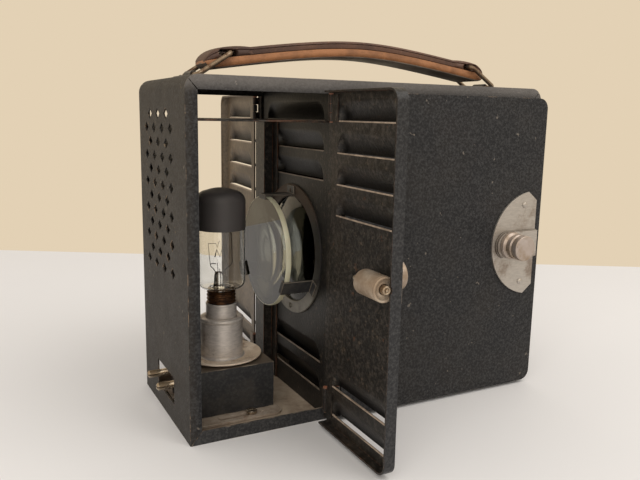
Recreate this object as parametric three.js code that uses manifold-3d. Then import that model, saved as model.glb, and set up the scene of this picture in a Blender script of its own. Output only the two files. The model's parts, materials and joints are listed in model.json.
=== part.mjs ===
// Slide projector in a sheet steel case, with its lamp house doors open.
// Millimetres, +Z up. The origin is the centre of the case's base.
// X runs from the lamp end (-X) to the lens end (+X). The near side is -Y.
import * as THREE from 'three';
import { mergeVertices } from 'three/addons/utils/BufferGeometryUtils.js';
import Module from 'manifold-3d';

const wasm = await Module();
wasm.setup();

// Driving dimensions of the case
const caseLength = 252;
const caseDepth = 104;
const caseHeight = 210;
const sheet = 1;
const topBend = 8;
const endLip = 7;
const topLip = 8;
const floorLip = 8.2;
const gap = 0.3;
const overrun = 2;
const opticAxisHeight = 101;

// Driving dimensions of the doors and their hinges
const doorBottom = 2.5;
const doorTopDrop = 6.6;
const doorTop = caseHeight - doorTopDrop;
const doorProud = 7;
const doorCorner = 7;
const postWidth = 4;
const postLeft = -39.5;
const hingeReach = 2.2;
const hingeInset = 1;
const hingeLength = 15;
const hingeLow = 8.6;
const hingeHighDrop = 23.8;
const hingeHigh = caseHeight - hingeHighDrop;
const knuckleRadius = 1.8;
const pinRadius = 0.9;
const pinPlay = 0.25;
const pinHeadRadius = 1.6;
const pinHead = 0.8;
const leafLength = 9.4;
const leafThickness = 0.8;
const lampDoorReach = 76.6;
const nearDoorOpen = 90;
const farDoorOpen = 95;

// Derived lines that several pieces share
const halfLength = caseLength / 2;
const halfDepth = caseDepth / 2;
const innerDepth = halfDepth - sheet;
const postRight = postLeft + postWidth;
const lampPivotX = postLeft - hingeReach;
const sidePivotX = postRight + hingeReach;
const pivotY = halfDepth + doorProud - hingeInset;
const sideDoorReach = halfLength - sidePivotX;
const rimInner = doorProud - hingeInset - gap;

// Counts
const roundSides = 20;
const smallSides = 8;

// Solid helpers: manifold objects in, manifold objects out
function solidOf(geometry) {
  const bare = geometry.index ? geometry.toNonIndexed() : geometry.clone();
  bare.deleteAttribute('normal');
  bare.deleteAttribute('uv');
  const merged = mergeVertices(bare);
  const vertProperties = new Float32Array(merged.attributes.position.array);
  const triVerts = new Uint32Array(merged.index.array);
  return new wasm.Manifold(new wasm.Mesh({ numProp: 3, vertProperties, triVerts }));
}

function geometryOf(solid) {
  const mesh = solid.getMesh();
  const geometry = new THREE.BufferGeometry();
  geometry.setAttribute('position', new THREE.BufferAttribute(new Float32Array(mesh.vertProperties), 3));
  geometry.setIndex(new THREE.BufferAttribute(new Uint32Array(mesh.triVerts), 1));
  geometry.computeVertexNormals();
  return geometry;
}

function join(...solids) {
  return solids.flat().reduce((sum, solid) => sum.add(solid));
}

function cut(body, ...tools) {
  return tools.flat().reduce((rest, tool) => rest.subtract(tool), body);
}

// A box between two corners
function block([x0, y0, z0], [x1, y1, z1]) {
  const geometry = new THREE.BoxGeometry(x1 - x0, y1 - y0, z1 - z0);
  geometry.translate((x0 + x1) / 2, (y0 + y1) / 2, (z0 + z1) / 2);
  return solidOf(geometry);
}

// Frames that carry a flat outline into the model: the outline's x, its y and the extrusion
const alongX = new THREE.Matrix4().makeBasis(
  new THREE.Vector3(0, 1, 0), new THREE.Vector3(0, 0, 1), new THREE.Vector3(1, 0, 0));
const alongY = new THREE.Matrix4().makeBasis(
  new THREE.Vector3(-1, 0, 0), new THREE.Vector3(0, 0, 1), new THREE.Vector3(0, 1, 0));

// An outline in Y and Z, extruded from x0 to x1
function slabX(shape, x0, x1, curveSegments = 4) {
  const geometry = new THREE.ExtrudeGeometry(shape, { depth: x1 - x0, bevelEnabled: false, curveSegments });
  geometry.applyMatrix4(alongX);
  geometry.translate(x0, 0, 0);
  return solidOf(geometry);
}

// An outline in -X and Z, extruded from y0 to y1
function slabY(shape, y0, y1, curveSegments = 4) {
  const geometry = new THREE.ExtrudeGeometry(shape, { depth: y1 - y0, bevelEnabled: false, curveSegments });
  geometry.applyMatrix4(alongY);
  geometry.translate(0, y0, 0);
  return solidOf(geometry);
}

// An outline in X and Y, extruded from z0 to z1
function slabZ(shape, z0, z1, curveSegments = 4) {
  const geometry = new THREE.ExtrudeGeometry(shape, { depth: z1 - z0, bevelEnabled: false, curveSegments });
  geometry.translate(0, 0, z0);
  return solidOf(geometry);
}

function outline(points) {
  return new THREE.Shape(points.map(([a, b]) => new THREE.Vector2(a, b)));
}

// A rectangle with its own radius at each corner: low left, low right, high right, high left
function roundedRectangle(a0, b0, a1, b1, [lowLeft, lowRight, highRight, highLeft]) {
  const shape = new THREE.Shape();
  shape.moveTo(a0 + lowLeft, b0);
  shape.lineTo(a1 - lowRight, b0);
  if (lowRight > 0) shape.absarc(a1 - lowRight, b0 + lowRight, lowRight, -Math.PI / 2, 0, false);
  shape.lineTo(a1, b1 - highRight);
  if (highRight > 0) shape.absarc(a1 - highRight, b1 - highRight, highRight, 0, Math.PI / 2, false);
  shape.lineTo(a0 + highLeft, b1);
  if (highLeft > 0) shape.absarc(a0 + highLeft, b1 - highLeft, highLeft, Math.PI / 2, Math.PI, false);
  shape.lineTo(a0, b0 + lowLeft);
  if (lowLeft > 0) shape.absarc(a0 + lowLeft, b0 + lowLeft, lowLeft, Math.PI, 1.5 * Math.PI, false);
  return shape;
}

// A turned body: a closed profile of [radius, height] pairs about Z
function turned(profile, sides = roundSides) {
  const geometry = new THREE.LatheGeometry(profile.map(([r, h]) => new THREE.Vector2(r, h)), sides);
  geometry.rotateX(Math.PI / 2);
  return outward(solidOf(geometry), geometry);
}

// Lathe profiles may run either way round: the faces are turned to point out
function outward(solid, geometry) {
  if (solid.volume() >= 0 && solid.status() === 'NoError' && !solid.isEmpty()) return solid;
  const flipped = geometry.toNonIndexed();
  const position = flipped.attributes.position;
  const a = new THREE.Vector3();
  const b = new THREE.Vector3();
  for (let i = 0; i < position.count; i += 3) {
    a.fromBufferAttribute(position, i);
    b.fromBufferAttribute(position, i + 1);
    position.setXYZ(i, b.x, b.y, b.z);
    position.setXYZ(i + 1, a.x, a.y, a.z);
  }
  return solidOf(flipped);
}

const turnToX = [0, 90, 0];
const turnToMinusX = [0, -90, 0];
const turnToMinusY = [90, 0, 0];

// A round bar about Z
function bar(radius, z0, z1, sides = smallSides) {
  return turned([[0, z0], [radius, z0], [radius, z1], [0, z1]], sides);
}

// A round tube about Z
function tube(outer, inner, z0, z1, sides = roundSides) {
  return turned([[inner, z0], [outer, z0], [outer, z1], [inner, z1], [inner, z0]], sides);
}

const finishes = {
  crinkle: { color: 0x2c2c2e, roughness: 0.75, metalness: 0.2 },
  crinkleBrown: { color: 0x37302a, roughness: 0.75, metalness: 0.2 },
  innerBrown: { color: 0x2e261f, roughness: 0.6, metalness: 0.4 },
  floorBeige: { color: 0x7b6c5c, roughness: 0.8, metalness: 0.3 },
  aluminium: { color: 0xa39d95, roughness: 0.42, metalness: 0.85 },
  nickel: { color: 0x9a8c76, roughness: 0.35, metalness: 0.9 },
  rusty: { color: 0x8a7560, roughness: 0.7, metalness: 0.5 },
  blackPaint: { color: 0x1b1b1c, roughness: 0.5, metalness: 0.2 },
  brass: { color: 0x5a3e22, roughness: 0.5, metalness: 0.8 },
  glass: { color: 0xd8dcc8, roughness: 0.05, metalness: 0, transparent: true, opacity: 0.35 },
  bakelite: { color: 0x1c1614, roughness: 0.35, metalness: 0 },
  leather: { color: 0x7a4a2e, roughness: 0.6, metalness: 0 },
  wire: { color: 0x6b5a4a, roughness: 0.4, metalness: 0.9 },
};

function piece(name, solid, finish) {
  const mesh = new THREE.Mesh(geometryOf(solid), new THREE.MeshStandardMaterial(finishes[finish]));
  mesh.name = name;
  return mesh;
}

const projector = new THREE.Group();

// Case wrap: left end wall, top and right end wall bent from one sheet
const seam = 0.3;
const slitWidth = 0.6;
const slitShare = 0.85;
const diamondWidth = 9;
const diamondHeight = 6.6;
const diamondPitch = 18.4;
const diamondRowPitch = 8.45;
const diamondRows = 12;
const diamondTopDrop = 21.2;
const diamondTop = caseHeight - diamondTopDrop;
const diamondOffset = 6;
const diamondsInLongRow = 4;
const inletCutWidth = 38;
const inletCutBottom = 12.5;
const inletCutTop = 30.1;
const lensBore = 23.5;

function caseProfile(inset) {
  const radius = topBend - inset;
  return roundedRectangle(
    -halfLength + inset, 0, halfLength - inset, caseHeight - inset, [0, 0, radius, radius]);
}

function diamonds() {
  const holes = [];
  for (let row = 0; row < diamondRows; row += 1) {
    const count = row % 2 === 0 ? diamondsInLongRow - 1 : diamondsInLongRow;
    const z = diamondTop - row * diamondRowPitch;
    for (let column = 0; column < count; column += 1) {
      const y = diamondOffset + (column - (count - 1) / 2) * diamondPitch;
      const hole = outline([
        [y - diamondWidth / 2, z], [y, z - diamondHeight / 2],
        [y + diamondWidth / 2, z], [y, z + diamondHeight / 2]]);
      holes.push(slabX(hole, -halfLength - overrun, -halfLength + sheet + overrun));
    }
  }
  return join(holes);
}

// A slit along the mitre of two lips, from the window's corner outwards
function mitreSlit(side) {
  const inner = new THREE.Vector2(side * (halfLength - endLip), caseHeight - topLip);
  const outer = new THREE.Vector2(side * halfLength, caseHeight);
  const reach = inner.clone().lerp(outer, slitShare);
  const across = outer.clone().sub(inner).normalize().multiplyScalar(slitWidth / 2);
  const normal = new THREE.Vector2(-across.y, across.x);
  const corners = [
    inner.clone().add(normal), inner.clone().sub(normal), reach.clone().sub(normal), reach.clone().add(normal)];
  const shape = outline(corners.map((p) => [-p.x, p.y]));
  return [-1, 1].map((face) => slabY(
    shape,
    face < 0 ? -halfDepth - overrun : innerDepth,
    face < 0 ? -innerDepth : halfDepth + overrun));
}

// The floor's space in the case: a trapezoid whose slanted ends are the mitres with the end walls
function floorProfile(slack) {
  const low = halfLength - slack;
  const high = halfLength - endLip - slack;
  return outline([[-low, 0], [low, 0], [high, floorLip], [-high, floorLip]]);
}

function caseWindow(z0, z1) {
  return block([-halfLength + endLip, -halfDepth - overrun, z0], [halfLength - endLip, halfDepth + overrun, z1]);
}

function caseWrap() {
  const shell = cut(
    slabY(caseProfile(0), -halfDepth, halfDepth),
    slabY(caseProfile(sheet), -innerDepth, innerDepth),
    caseWindow(floorLip, caseHeight - topLip),
    slabY(floorProfile(0), -halfDepth, halfDepth));
  const inletCut = block(
    [-halfLength - overrun, -inletCutWidth / 2, inletCutBottom],
    [-halfLength + sheet + overrun, inletCutWidth / 2, inletCutTop]);
  const lensHole = bar(lensBore, halfLength - sheet - overrun, halfLength + overrun, roundSides)
    .rotate(turnToX).translate([0, 0, opticAxisHeight]);
  return cut(shell, diamonds(), inletCut, lensHole, mitreSlit(-1), mitreSlit(1));
}

function floorPan() {
  const pocket = block(
    [-halfLength - overrun, -innerDepth, sheet], [halfLength + overrun, innerDepth, floorLip + overrun]);
  return cut(slabY(floorProfile(seam), -halfDepth, halfDepth), pocket);
}

projector.add(piece('case_wrap', caseWrap(), 'crinkle'));
projector.add(piece('floor_pan', floorPan(), 'floorBeige'));

// Louvers: pressed hoods, open along their lower edge
const louverHeight = 11.4;
const louverDepth = 4;
const louverPitch = 18;
const louverTopDrop = 23;
const louverTopLip = caseHeight - louverTopDrop;
const louverArc = 3;
const louverSideShare = 0.08;
const louverEndFloorShare = 0.06;
const louverStationShares = [0, 0.02, 0.08, 0.92, 0.98, 1];
const louverBulge = 1.6;
const doorLouverLength = 61;
const doorLouverStart = 8.8;
const doorLowLips = [28.4, 10.4];
const partitionLouverLength = 85;
const partitionLipHeights = [35, 16.5];
const latchHeight = 104.5;

// A hood: length along X, bulging towards -Y and deepest at its lower edge, z = 0, with a root behind y = 0
function hoodLoft(length, height, depth, root) {
  const rings = [];
  for (const along of louverStationShares) {
    const edge = Math.min(along, 1 - along) / louverSideShare;
    const swell = edge >= 1 ? 1 : Math.sqrt(Math.max(1 - (1 - edge) ** 2, 0));
    const ring = [[along * length, root, 0]];
    for (let j = 0; j <= louverArc; j += 1) {
      const rise = j / louverArc;
      const out = Math.max(swell, louverEndFloorShare) * depth * (1 - rise ** louverBulge);
      ring.push([along * length, -out, height * rise]);
    }
    ring.push([along * length, root, height]);
    rings.push(ring);
  }
  return loft(rings);
}

// Closes rings of equal count into a solid, ring after ring
function loft(rings) {
  const count = rings[0].length;
  const vertProperties = new Float32Array(rings.flat(2));
  const triangles = [];
  for (let i = 0; i + 1 < rings.length; i += 1) {
    for (let j = 0; j < count; j += 1) {
      const a = i * count + j;
      const b = i * count + ((j + 1) % count);
      triangles.push(a, b, a + count, b, b + count, a + count);
    }
  }
  const last = (rings.length - 1) * count;
  for (let j = 1; j + 1 < count; j += 1) {
    triangles.push(0, j + 1, j, last, last + j, last + j + 1);
  }
  const geometry = new THREE.BufferGeometry();
  geometry.setAttribute('position', new THREE.BufferAttribute(vertProperties, 3));
  geometry.setIndex(triangles);
  return outward(solidOf(geometry), geometry);
}

// Presses louvers into a plate whose outer face is the plane y = face, with the plate's sheet behind it
function pressLouvers(plate, x0, length, face, lips) {
  let result = plate;
  for (const lip of lips) {
    const outer = hoodLoft(length, louverHeight, louverDepth, sheet / 2).translate([x0, face, lip]);
    const inner = hoodLoft(length - 2 * sheet, louverHeight - sheet, louverDepth - sheet, sheet + overrun)
      .translate([x0 + sheet, face, lip - gap]);
    result = cut(join(result, outer), inner);
  }
  return result;
}

// Lips from the top down, as many as fit over the given height
function topLips(lowest) {
  const count = Math.max(Math.floor((louverTopLip - lowest) / louverPitch) + 1, 0);
  return Array.from({ length: count }, (_, i) => louverTopLip - i * louverPitch);
}

// Partition between lamp house and slide chamber, in the YZ plane
const partitionX = -38;
const partitionFlange = 8;
const lensRadius = 36.4;
const ringRadius = 43.6;
const apertureRadius = lensRadius + 2 * gap;

function partition() {
  const z0 = sheet;
  const z1 = caseHeight - sheet - gap;
  const width = innerDepth - gap;
  const flat = block([-width, 0, z0], [width, sheet, z1]);
  const ringBottom = opticAxisHeight - ringRadius;
  const lips = [
    ...topLips(opticAxisHeight + ringRadius + gap),
    ...partitionLipHeights.filter((lip) => lip + louverHeight < ringBottom)];
  const louvered = pressLouvers(flat, -partitionLouverLength / 2, partitionLouverLength, 0, lips)
    .rotate([0, 0, 90]).translate([partitionX + sheet, 0, 0]);
  const flanges = [-1, 1].map((side) => block(
    [partitionX, side < 0 ? -width : width - sheet, floorLip + gap],
    [partitionX + partitionFlange, side < 0 ? -width + sheet : width, caseHeight - topLip - gap]));
  const aperture = bar(apertureRadius, partitionX - overrun, partitionX + sheet + overrun, roundSides)
    .rotate(turnToX).translate([0, 0, opticAxisHeight]);
  return cut(join(louvered, flanges), aperture);
}

projector.add(piece('partition', partition(), 'innerBrown'));

// A bent channel on the partition that closes the corner at the far door: foot, web and outer flange
const channelStart = 24;
const channelWeb = 32;
const channelEnd = 47.5;
const channelReach = 7.4;

function farChannel(top) {
  const front = partitionX - channelReach;
  const shape = outline([
    [partitionX, channelStart], [partitionX, channelWeb + sheet], [front + sheet, channelWeb + sheet],
    [front + sheet, channelEnd], [front, channelEnd], [front, channelWeb], [partitionX - sheet, channelWeb],
    [partitionX - sheet, channelStart]]);
  const ringSpace = bar(ringRadius + sheet, front - overrun, partitionX + overrun, roundSides)
    .rotate(turnToX).translate([0, 0, opticAxisHeight]);
  return cut(slabZ(shape, sheet, top), ringSpace);
}

// Hinge posts: they stand on the lips, and carry the fixed knuckles
const knuckleGap = 0.3;
const knuckleCount = 3;
const knuckle = (hingeLength - (knuckleCount - 1) * knuckleGap) / knuckleCount;

// Bottom and top of the knuckle with this index in a hinge that starts at z
function knuckleSpan(z, index) {
  const low = z + index * (knuckle + knuckleGap);
  return [low, low + knuckle];
}

function knuckleBore(z) {
  return bar(pinRadius + pinPlay, z - overrun, z + hingeLength + overrun);
}

// Fixed knuckles at a pivot, with webs towards the post that lies at dx
function fixedKnuckles(z, dx, face) {
  const parts = [0, knuckleCount - 1].map((index) => {
    const [low, high] = knuckleSpan(z, index);
    const web = block(
      [Math.min(0, dx), face < 0 ? 0 : -hingeInset, low], [Math.max(0, dx), face < 0 ? hingeInset : 0, high]);
    return join(bar(knuckleRadius, low, high), web);
  });
  return parts.map((part) => cut(part, knuckleBore(z)));
}

function hingePost(face, sides) {
  const y0 = face < 0 ? -halfDepth - doorProud + hingeInset : halfDepth;
  const post = block([postLeft, y0, doorBottom], [postRight, y0 + doorProud - hingeInset, doorTop]);
  const parts = [];
  for (const side of sides) {
    for (const z of [hingeLow, hingeHigh]) {
      const x = side < 0 ? lampPivotX : sidePivotX;
      const reach = -side * (hingeReach + gap);
      parts.push(fixedKnuckles(z, reach, face).map((part) => part.translate([x, face * pivotY, 0])));
    }
  }
  return join(post, parts.flat());
}

projector.add(piece('hinge_post_near', hingePost(-1, [-1, 1]), 'innerBrown'));
projector.add(piece('hinge_post_far', hingePost(1, [-1]), 'innerBrown'));

function hingePin(z) {
  const low = z - pinHead;
  const high = z + hingeLength + gap / 2;
  return turned([
    [0, low], [pinRadius, low], [pinRadius, high], [pinHeadRadius, high], [pinHeadRadius, high + pinHead],
    [0, high + pinHead]], smallSides);
}

const pivots = {
  near_lamp_door: [lampPivotX, -pivotY],
  far_lamp_door: [lampPivotX, pivotY],
  side_door: [sidePivotX, -pivotY],
};
for (const [door, [x, y]] of Object.entries(pivots)) {
  for (const [level, z] of [['low', hingeLow], ['high', hingeHigh]]) {
    const pin = piece(`${door}_pin_${level}`, hingePin(z), 'wire');
    pin.position.set(x, y, 0);
    projector.add(pin);
  }
}

// Doors are modelled closed, in a frame whose Z axis is the pivot: they reach along +X, face -Y.
// hand is -1 for a door that reaches along -X instead.
const doorEdge = knuckleRadius + gap;

function mirrored(solid, hand) {
  return hand < 0 ? solid.mirror([1, 0, 0]) : solid;
}

function doorTray(start, reach, corners) {
  const outer = roundedRectangle(-reach, doorBottom, -start, doorTop, corners);
  const innerCorners = corners.map((radius) => Math.max(radius - sheet, 0));
  const closedStart = corners[1] > 0 ? start + sheet : start - overrun;
  const inner = roundedRectangle(
    -reach + sheet, doorBottom + sheet, -closedStart, doorTop - sheet, innerCorners);
  return cut(slabY(outer, -hingeInset, rimInner), slabY(inner, -hingeInset + sheet, rimInner + overrun));
}

function doorKnuckle(z) {
  const [low, high] = knuckleSpan(z, 1);
  const web = block([0, -hingeInset, low], [doorEdge + gap, -hingeInset + sheet, high]);
  return cut(join(bar(knuckleRadius, low, high), web), knuckleBore(z));
}

function hingeLeaf(z) {
  return block([doorEdge, 0, z], [leafLength, leafThickness, z + hingeLength]);
}

const boltRadius = 2.5;
const barrelRadius = 6.9;
const boltAxis = barrelRadius + 2 * gap;
const knobInset = 28.8;
const knobTravel = 4.5;
const stemRadius = 2.8;
const slotSlack = 0.4;

// The slot that the knob's stem slides in, through everything between y0 and y1
function stemSlot(knobX, y0, y1) {
  const half = stemRadius + slotSlack;
  const shape = roundedRectangle(
    -knobX - half, latchHeight - half, -knobX + knobTravel + half, latchHeight + half,
    [half, half, half, half]);
  return slabY(shape, y0, y1, 4);
}

function door({ reach, louvered }) {
  let body = doorTray(doorEdge, reach, [doorCorner, 0, 0, doorCorner]);
  if (louvered) {
    const lips = [...topLips(latchHeight + lampPlateRadius), ...doorLowLips];
    body = pressLouvers(body, doorLouverStart, doorLouverLength, -hingeInset, lips);
  }
  for (const z of [hingeLow, hingeHigh]) {
    body = join(body, doorKnuckle(z), hingeLeaf(z));
  }
  const boltNotch = bar(boltRadius + gap, reach - overrun, reach + overrun, 12)
    .rotate(turnToX).translate([0, boltAxis, latchHeight]);
  return cut(body, stemSlot(reach - knobInset, -hingeInset - overrun, overrun), boltNotch);
}

// Latch: a half-moon plate with a raised slide housing, a knob, and a spring bolt in its barrel
const plateThickness = 1.2;
const plateEdgeInset = 5.2;
const plateCentreInset = 1.3;
const plateCornerHalf = 29.8;
const plateTipInset = 7.6;
const sidePlateRadius = 36.4;
const lampPlateRadius = 27;
const plateRivetShare = 0.74;
const plateRivetInset = 11;
const rivetRadius = 2;
const rivetHeight = 1.3;
const housingHalf = 9.6;
const housingHeight = 2.6;
const housingTaper = 1.6;

// The half-moon: an arc, a straight edge towards the door's free edge, and chamfered tips
function halfMoon(radius) {
  const centre = -plateCentreInset;
  const corner = plateCornerHalf * radius / sidePlateRadius;
  const shape = new THREE.Shape();
  const tipX = -plateTipInset;
  const tip = Math.sqrt(radius ** 2 - (tipX - centre) ** 2);
  const start = Math.atan2(tip, tipX - centre);
  shape.moveTo(0, -corner);
  shape.lineTo(0, corner);
  shape.lineTo(tipX, tip);
  shape.absarc(centre, 0, radius, start, 2 * Math.PI - start, false);
  shape.closePath();
  return shape;
}

// A stepped rise around the knob that runs on to the straight edge
function slideHousing(knobX, edgeX) {
  const steps = 2;
  const rises = [];
  for (let i = 0; i < steps; i += 1) {
    const inset = housingTaper * (1 - Math.cos((i / steps) * Math.PI / 2));
    const half = housingHalf - inset;
    const shape = roundedRectangle(-edgeX, latchHeight - half, -knobX + half + knobTravel / 2, latchHeight + half,
      [0, half, half, 0]);
    const base = -hingeInset - plateThickness;
    rises.push(slabY(shape, base - housingHeight * (i + 1) / steps, base + gap, 4));
  }
  return join(rises);
}

// A rivet head on the plane z = 0, with a short root under it
function dome(radius, height, sides = smallSides) {
  const steps = 2;
  const profile = [[0, -gap], [radius, -gap], [radius, 0]];
  for (let i = 1; i < steps; i += 1) {
    const angle = (i / steps) * Math.PI / 2;
    profile.push([radius * Math.cos(angle), height * Math.sin(angle)]);
  }
  profile.push([0, height]);
  return turned(profile, sides);
}

function latchPlate(reach, radius) {
  const edgeX = reach - plateEdgeInset;
  const shape = halfMoon(radius);
  const face = -hingeInset - plateThickness;
  const plate = slabY(shape, face, -hingeInset, 12).mirror([1, 0, 0]).translate([edgeX, 0, latchHeight]);
  const rivets = [-1, 1].map((side) => dome(rivetRadius, rivetHeight).rotate(turnToMinusY)
    .translate([edgeX - plateRivetInset, face, latchHeight + side * radius * plateRivetShare]));
  const knobX = reach - knobInset;
  const body = join(plate, rivets, slideHousing(knobX, edgeX));
  return cut(body, stemSlot(knobX, face - housingHeight - overrun, 0));
}

const knobRadius = 8.2;
const knobLength = 18;
const knobFoot = 2.6;
const knobNeckRadius = 6.6;
const knobBand = 3;
const knobGroove = 1.6;
const knobCrown = 0.9;
const knobStep = 0.8;
const barrelWall = 1.1;
const lampBarrelLength = 21.2;
const sideBarrelLength = 14.5;
const barrelBackset = 2.8;
const boltBackset = 0.9;

// The knob stands on the housing, out along -Y; its stem goes through to the bolt
function latchKnob(reach) {
  const foot = hingeInset + plateThickness + housingHeight + gap;
  const tip = foot - gap + knobLength - plateThickness - housingHeight;
  const profile = [
    [0, -boltAxis + boltRadius / 2],
    [stemRadius, -boltAxis + boltRadius / 2],
    [stemRadius, foot],
    [knobRadius + knobStep, foot],
    [knobRadius + knobStep, foot + knobFoot],
    [knobNeckRadius, foot + knobFoot + knobGroove],
    [knobRadius, foot + knobFoot + 2 * knobGroove],
    [knobRadius, foot + knobFoot + 2 * knobGroove + knobBand],
    [knobNeckRadius, foot + knobFoot + 5 * knobGroove / 2 + knobBand],
    [knobRadius, foot + knobFoot + 3 * knobGroove + knobBand],
    [knobRadius, tip - knobCrown],
    [knobRadius - knobCrown, tip],
    [0, tip],
  ];
  const boltSpace = bar(boltRadius + gap, -knobRadius, knobRadius, 12)
    .rotate(turnToX).translate([0, boltAxis, 0]);
  const knob = cut(turned(profile, 14).rotate(turnToMinusY), boltSpace);
  return knob.translate([reach - knobInset, 0, latchHeight]);
}

const eyeLength = 3;

function latchBolt(reach, lipEdge) {
  const tip = lipEdge - boltBackset;
  const rear = reach - knobInset - eyeLength;
  const nose = bar(boltRadius, rear, tip, 12).rotate(turnToX);
  return nose.translate([0, boltAxis, latchHeight]);
}

function latchBarrel(lipEdge, length) {
  const front = lipEdge - barrelBackset;
  const rear = front - length;
  const bore = barrelRadius - barrelWall;
  const guide = boltRadius + gap;
  const shell = turned([
    [guide, rear], [barrelRadius, rear], [barrelRadius, front - barrelWall / 2],
    [barrelRadius - barrelWall / 2, front], [guide + barrelWall, front], [guide, front - barrelWall / 2],
    [guide, front - 2 * barrelWall], [bore, front - 2 * barrelWall], [bore, rear + barrelWall],
    [guide, rear + barrelWall], [guide, rear]], 12).rotate(turnToX);
  const saddle = block([rear + barrelWall, 0, -barrelRadius / 2], [front - barrelWall, boltAxis / 2, barrelRadius / 2]);
  const shank = bar(bore + gap, rear, front, 12).rotate(turnToX).translate([0, boltAxis, 0]);
  const foot = cut(saddle, shank);
  return join(shell.translate([0, boltAxis, 0]), foot).translate([0, 0, latchHeight]);
}

const doors = {
  near_lamp_door: {
    hand: -1, turn: nearDoorOpen, reach: lampDoorReach, louvered: true, plate: lampPlateRadius,
    lipEdge: halfLength + lampPivotX - endLip, barrel: lampBarrelLength, finish: 'innerBrown',
  },
  far_lamp_door: {
    hand: 1, turn: 180 - farDoorOpen, reach: lampDoorReach, louvered: true, plate: lampPlateRadius,
    lipEdge: halfLength + lampPivotX - endLip, barrel: lampBarrelLength, finish: 'innerBrown',
  },
  side_door: {
    hand: 1, turn: 0, reach: sideDoorReach, louvered: false, plate: sidePlateRadius,
    lipEdge: halfLength - sidePivotX - endLip, barrel: sideBarrelLength, finish: 'crinkle',
  },
};

for (const [name, spec] of Object.entries(doors)) {
  const frame = new THREE.Group();
  const parts = {
    [name]: [door(spec), spec.finish],
    [`${name}_plate`]: [latchPlate(spec.reach, spec.plate), 'aluminium'],
    [`${name}_knob`]: [latchKnob(spec.reach), 'aluminium'],
    [`${name}_bolt`]: [latchBolt(spec.reach, spec.lipEdge), 'nickel'],
    [`${name}_barrel`]: [latchBarrel(spec.lipEdge, spec.barrel), 'nickel'],
  };
  for (const [node, [solid, finish]] of Object.entries(parts)) {
    frame.add(piece(node, mirrored(solid, spec.hand), finish));
  }
  frame.position.set(pivots[name][0], pivots[name][1], 0);
  frame.rotation.z = THREE.MathUtils.degToRad(spec.turn);
  projector.add(frame);
}

// Far panel: the same tray as the side door, screwed down instead of hinged
const panelScrewRadius = 3;
const panelScrewInset = 12;

function farPanel() {
  const corners = [doorCorner, doorCorner, doorCorner, doorCorner];
  const start = doorEdge;
  const tray = doorTray(start, sideDoorReach, corners);
  const screws = [];
  for (const x of [start + panelScrewInset, sideDoorReach - panelScrewInset]) {
    for (const z of [doorBottom + panelScrewInset, doorTop - panelScrewInset]) {
      screws.push(dome(panelScrewRadius, rivetHeight).rotate(turnToMinusY).translate([x, -hingeInset, z]));
    }
  }
  return join(tray, screws).mirror([0, 1, 0]);
}

const farPanelMesh = piece('far_panel', farPanel(), 'crinkle');
farPanelMesh.position.set(sidePivotX, pivotY, 0);
projector.add(farPanelMesh);

// Light baffle: a thin plate from the end wall, where it has bent tabs, to the partition,
// with a wing bent down inside the perforated wall that lets air pass and stops the light
const baffleDrop = 24.6;
const baffleHeight = caseHeight - baffleDrop;
const baffleHalf = 49;
const tabInner = 40;
const tabDrop = 7;
const wingGap = 2.6;
const wingMargin = 5;

function lightBaffle() {
  const x0 = -halfLength + sheet;
  const x1 = partitionX;
  const plate = block([x0, -baffleHalf, baffleHeight], [x1, baffleHalf, baffleHeight + sheet]);
  const tabs = [];
  for (const side of [-1, 1]) {
    const y0 = side < 0 ? -baffleHalf : tabInner;
    const y1 = side < 0 ? -tabInner : baffleHalf;
    tabs.push(block([x0, y0, baffleHeight - tabDrop], [x0 + sheet, y1, baffleHeight + sheet / 2]));
  }
  const halfY = diamondsInLongRow * diamondPitch / 2 + wingMargin;
  const low = diamondTop - (diamondRows - 1) * diamondRowPitch - diamondHeight / 2 - wingMargin;
  const wing = block(
    [x0 + wingGap, diamondOffset - halfY, low], [x0 + wingGap + sheet, diamondOffset + halfY, baffleHeight + sheet / 2]);
  return join(plate, tabs, wing);
}

projector.add(piece('light_baffle', lightBaffle(), 'innerBrown'));
projector.add(piece('far_channel', farChannel(baffleHeight), 'innerBrown'));

// Lamp carriage: a slotted foot that slides on the floor under two screws, with a box on top
const lampX = -88.6;
const footLeft = -118;
const footRight = -59.2;
const footHalf = 35.5;
const footThickness = 1.5;
const footCorner = 6;
const footBottom = sheet + gap;
const footTop = footBottom + footThickness;
const screwX = -79.4;
const screwY = 29.8;
const slotLeft = -101.3;
const slotHalf = 2;
const slotRight = -77;
const footHoleRadius = 1.2;
const footHoleX = -72.2;
const boxHalfX = 26.8;
const boxHalfY = 24.6;
const boxTop = 32.8;
const screwShank = 1.5;
const screwHeadRadius = 3.4;
const screwHead = 2;
const screwSlot = 0.8;

function footSlot(y) {
  return slabZ(roundedRectangle(
    slotLeft, y - slotHalf, slotRight, y + slotHalf, [slotHalf, slotHalf, slotHalf, slotHalf]),
  footBottom - overrun, footTop + overrun, 3);
}

function carriageFoot() {
  const plate = slabZ(roundedRectangle(
    footLeft, -footHalf, footRight, footHalf, [footCorner, footCorner, footCorner, footCorner]),
  footBottom, footTop, 3);
  const holes = [-1, 1].map((side) => bar(footHoleRadius, footBottom - overrun, footTop + overrun)
    .translate([footHoleX, side * screwY, 0]));
  return cut(plate, footSlot(-screwY), footSlot(screwY), holes);
}

function clampScrew(y) {
  const z1 = footTop + gap + screwHead;
  const shaft = bar(screwShank, sheet, footTop + gap);
  const head = bar(screwHeadRadius, footTop + gap, z1, 20);
  const slot = block(
    [-screwHeadRadius - overrun, -screwSlot / 2, z1 - screwHead / 2],
    [screwHeadRadius + overrun, screwSlot / 2, z1 + overrun]);
  return cut(join(shaft, head), slot).translate([screwX, y, 0]);
}

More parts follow.
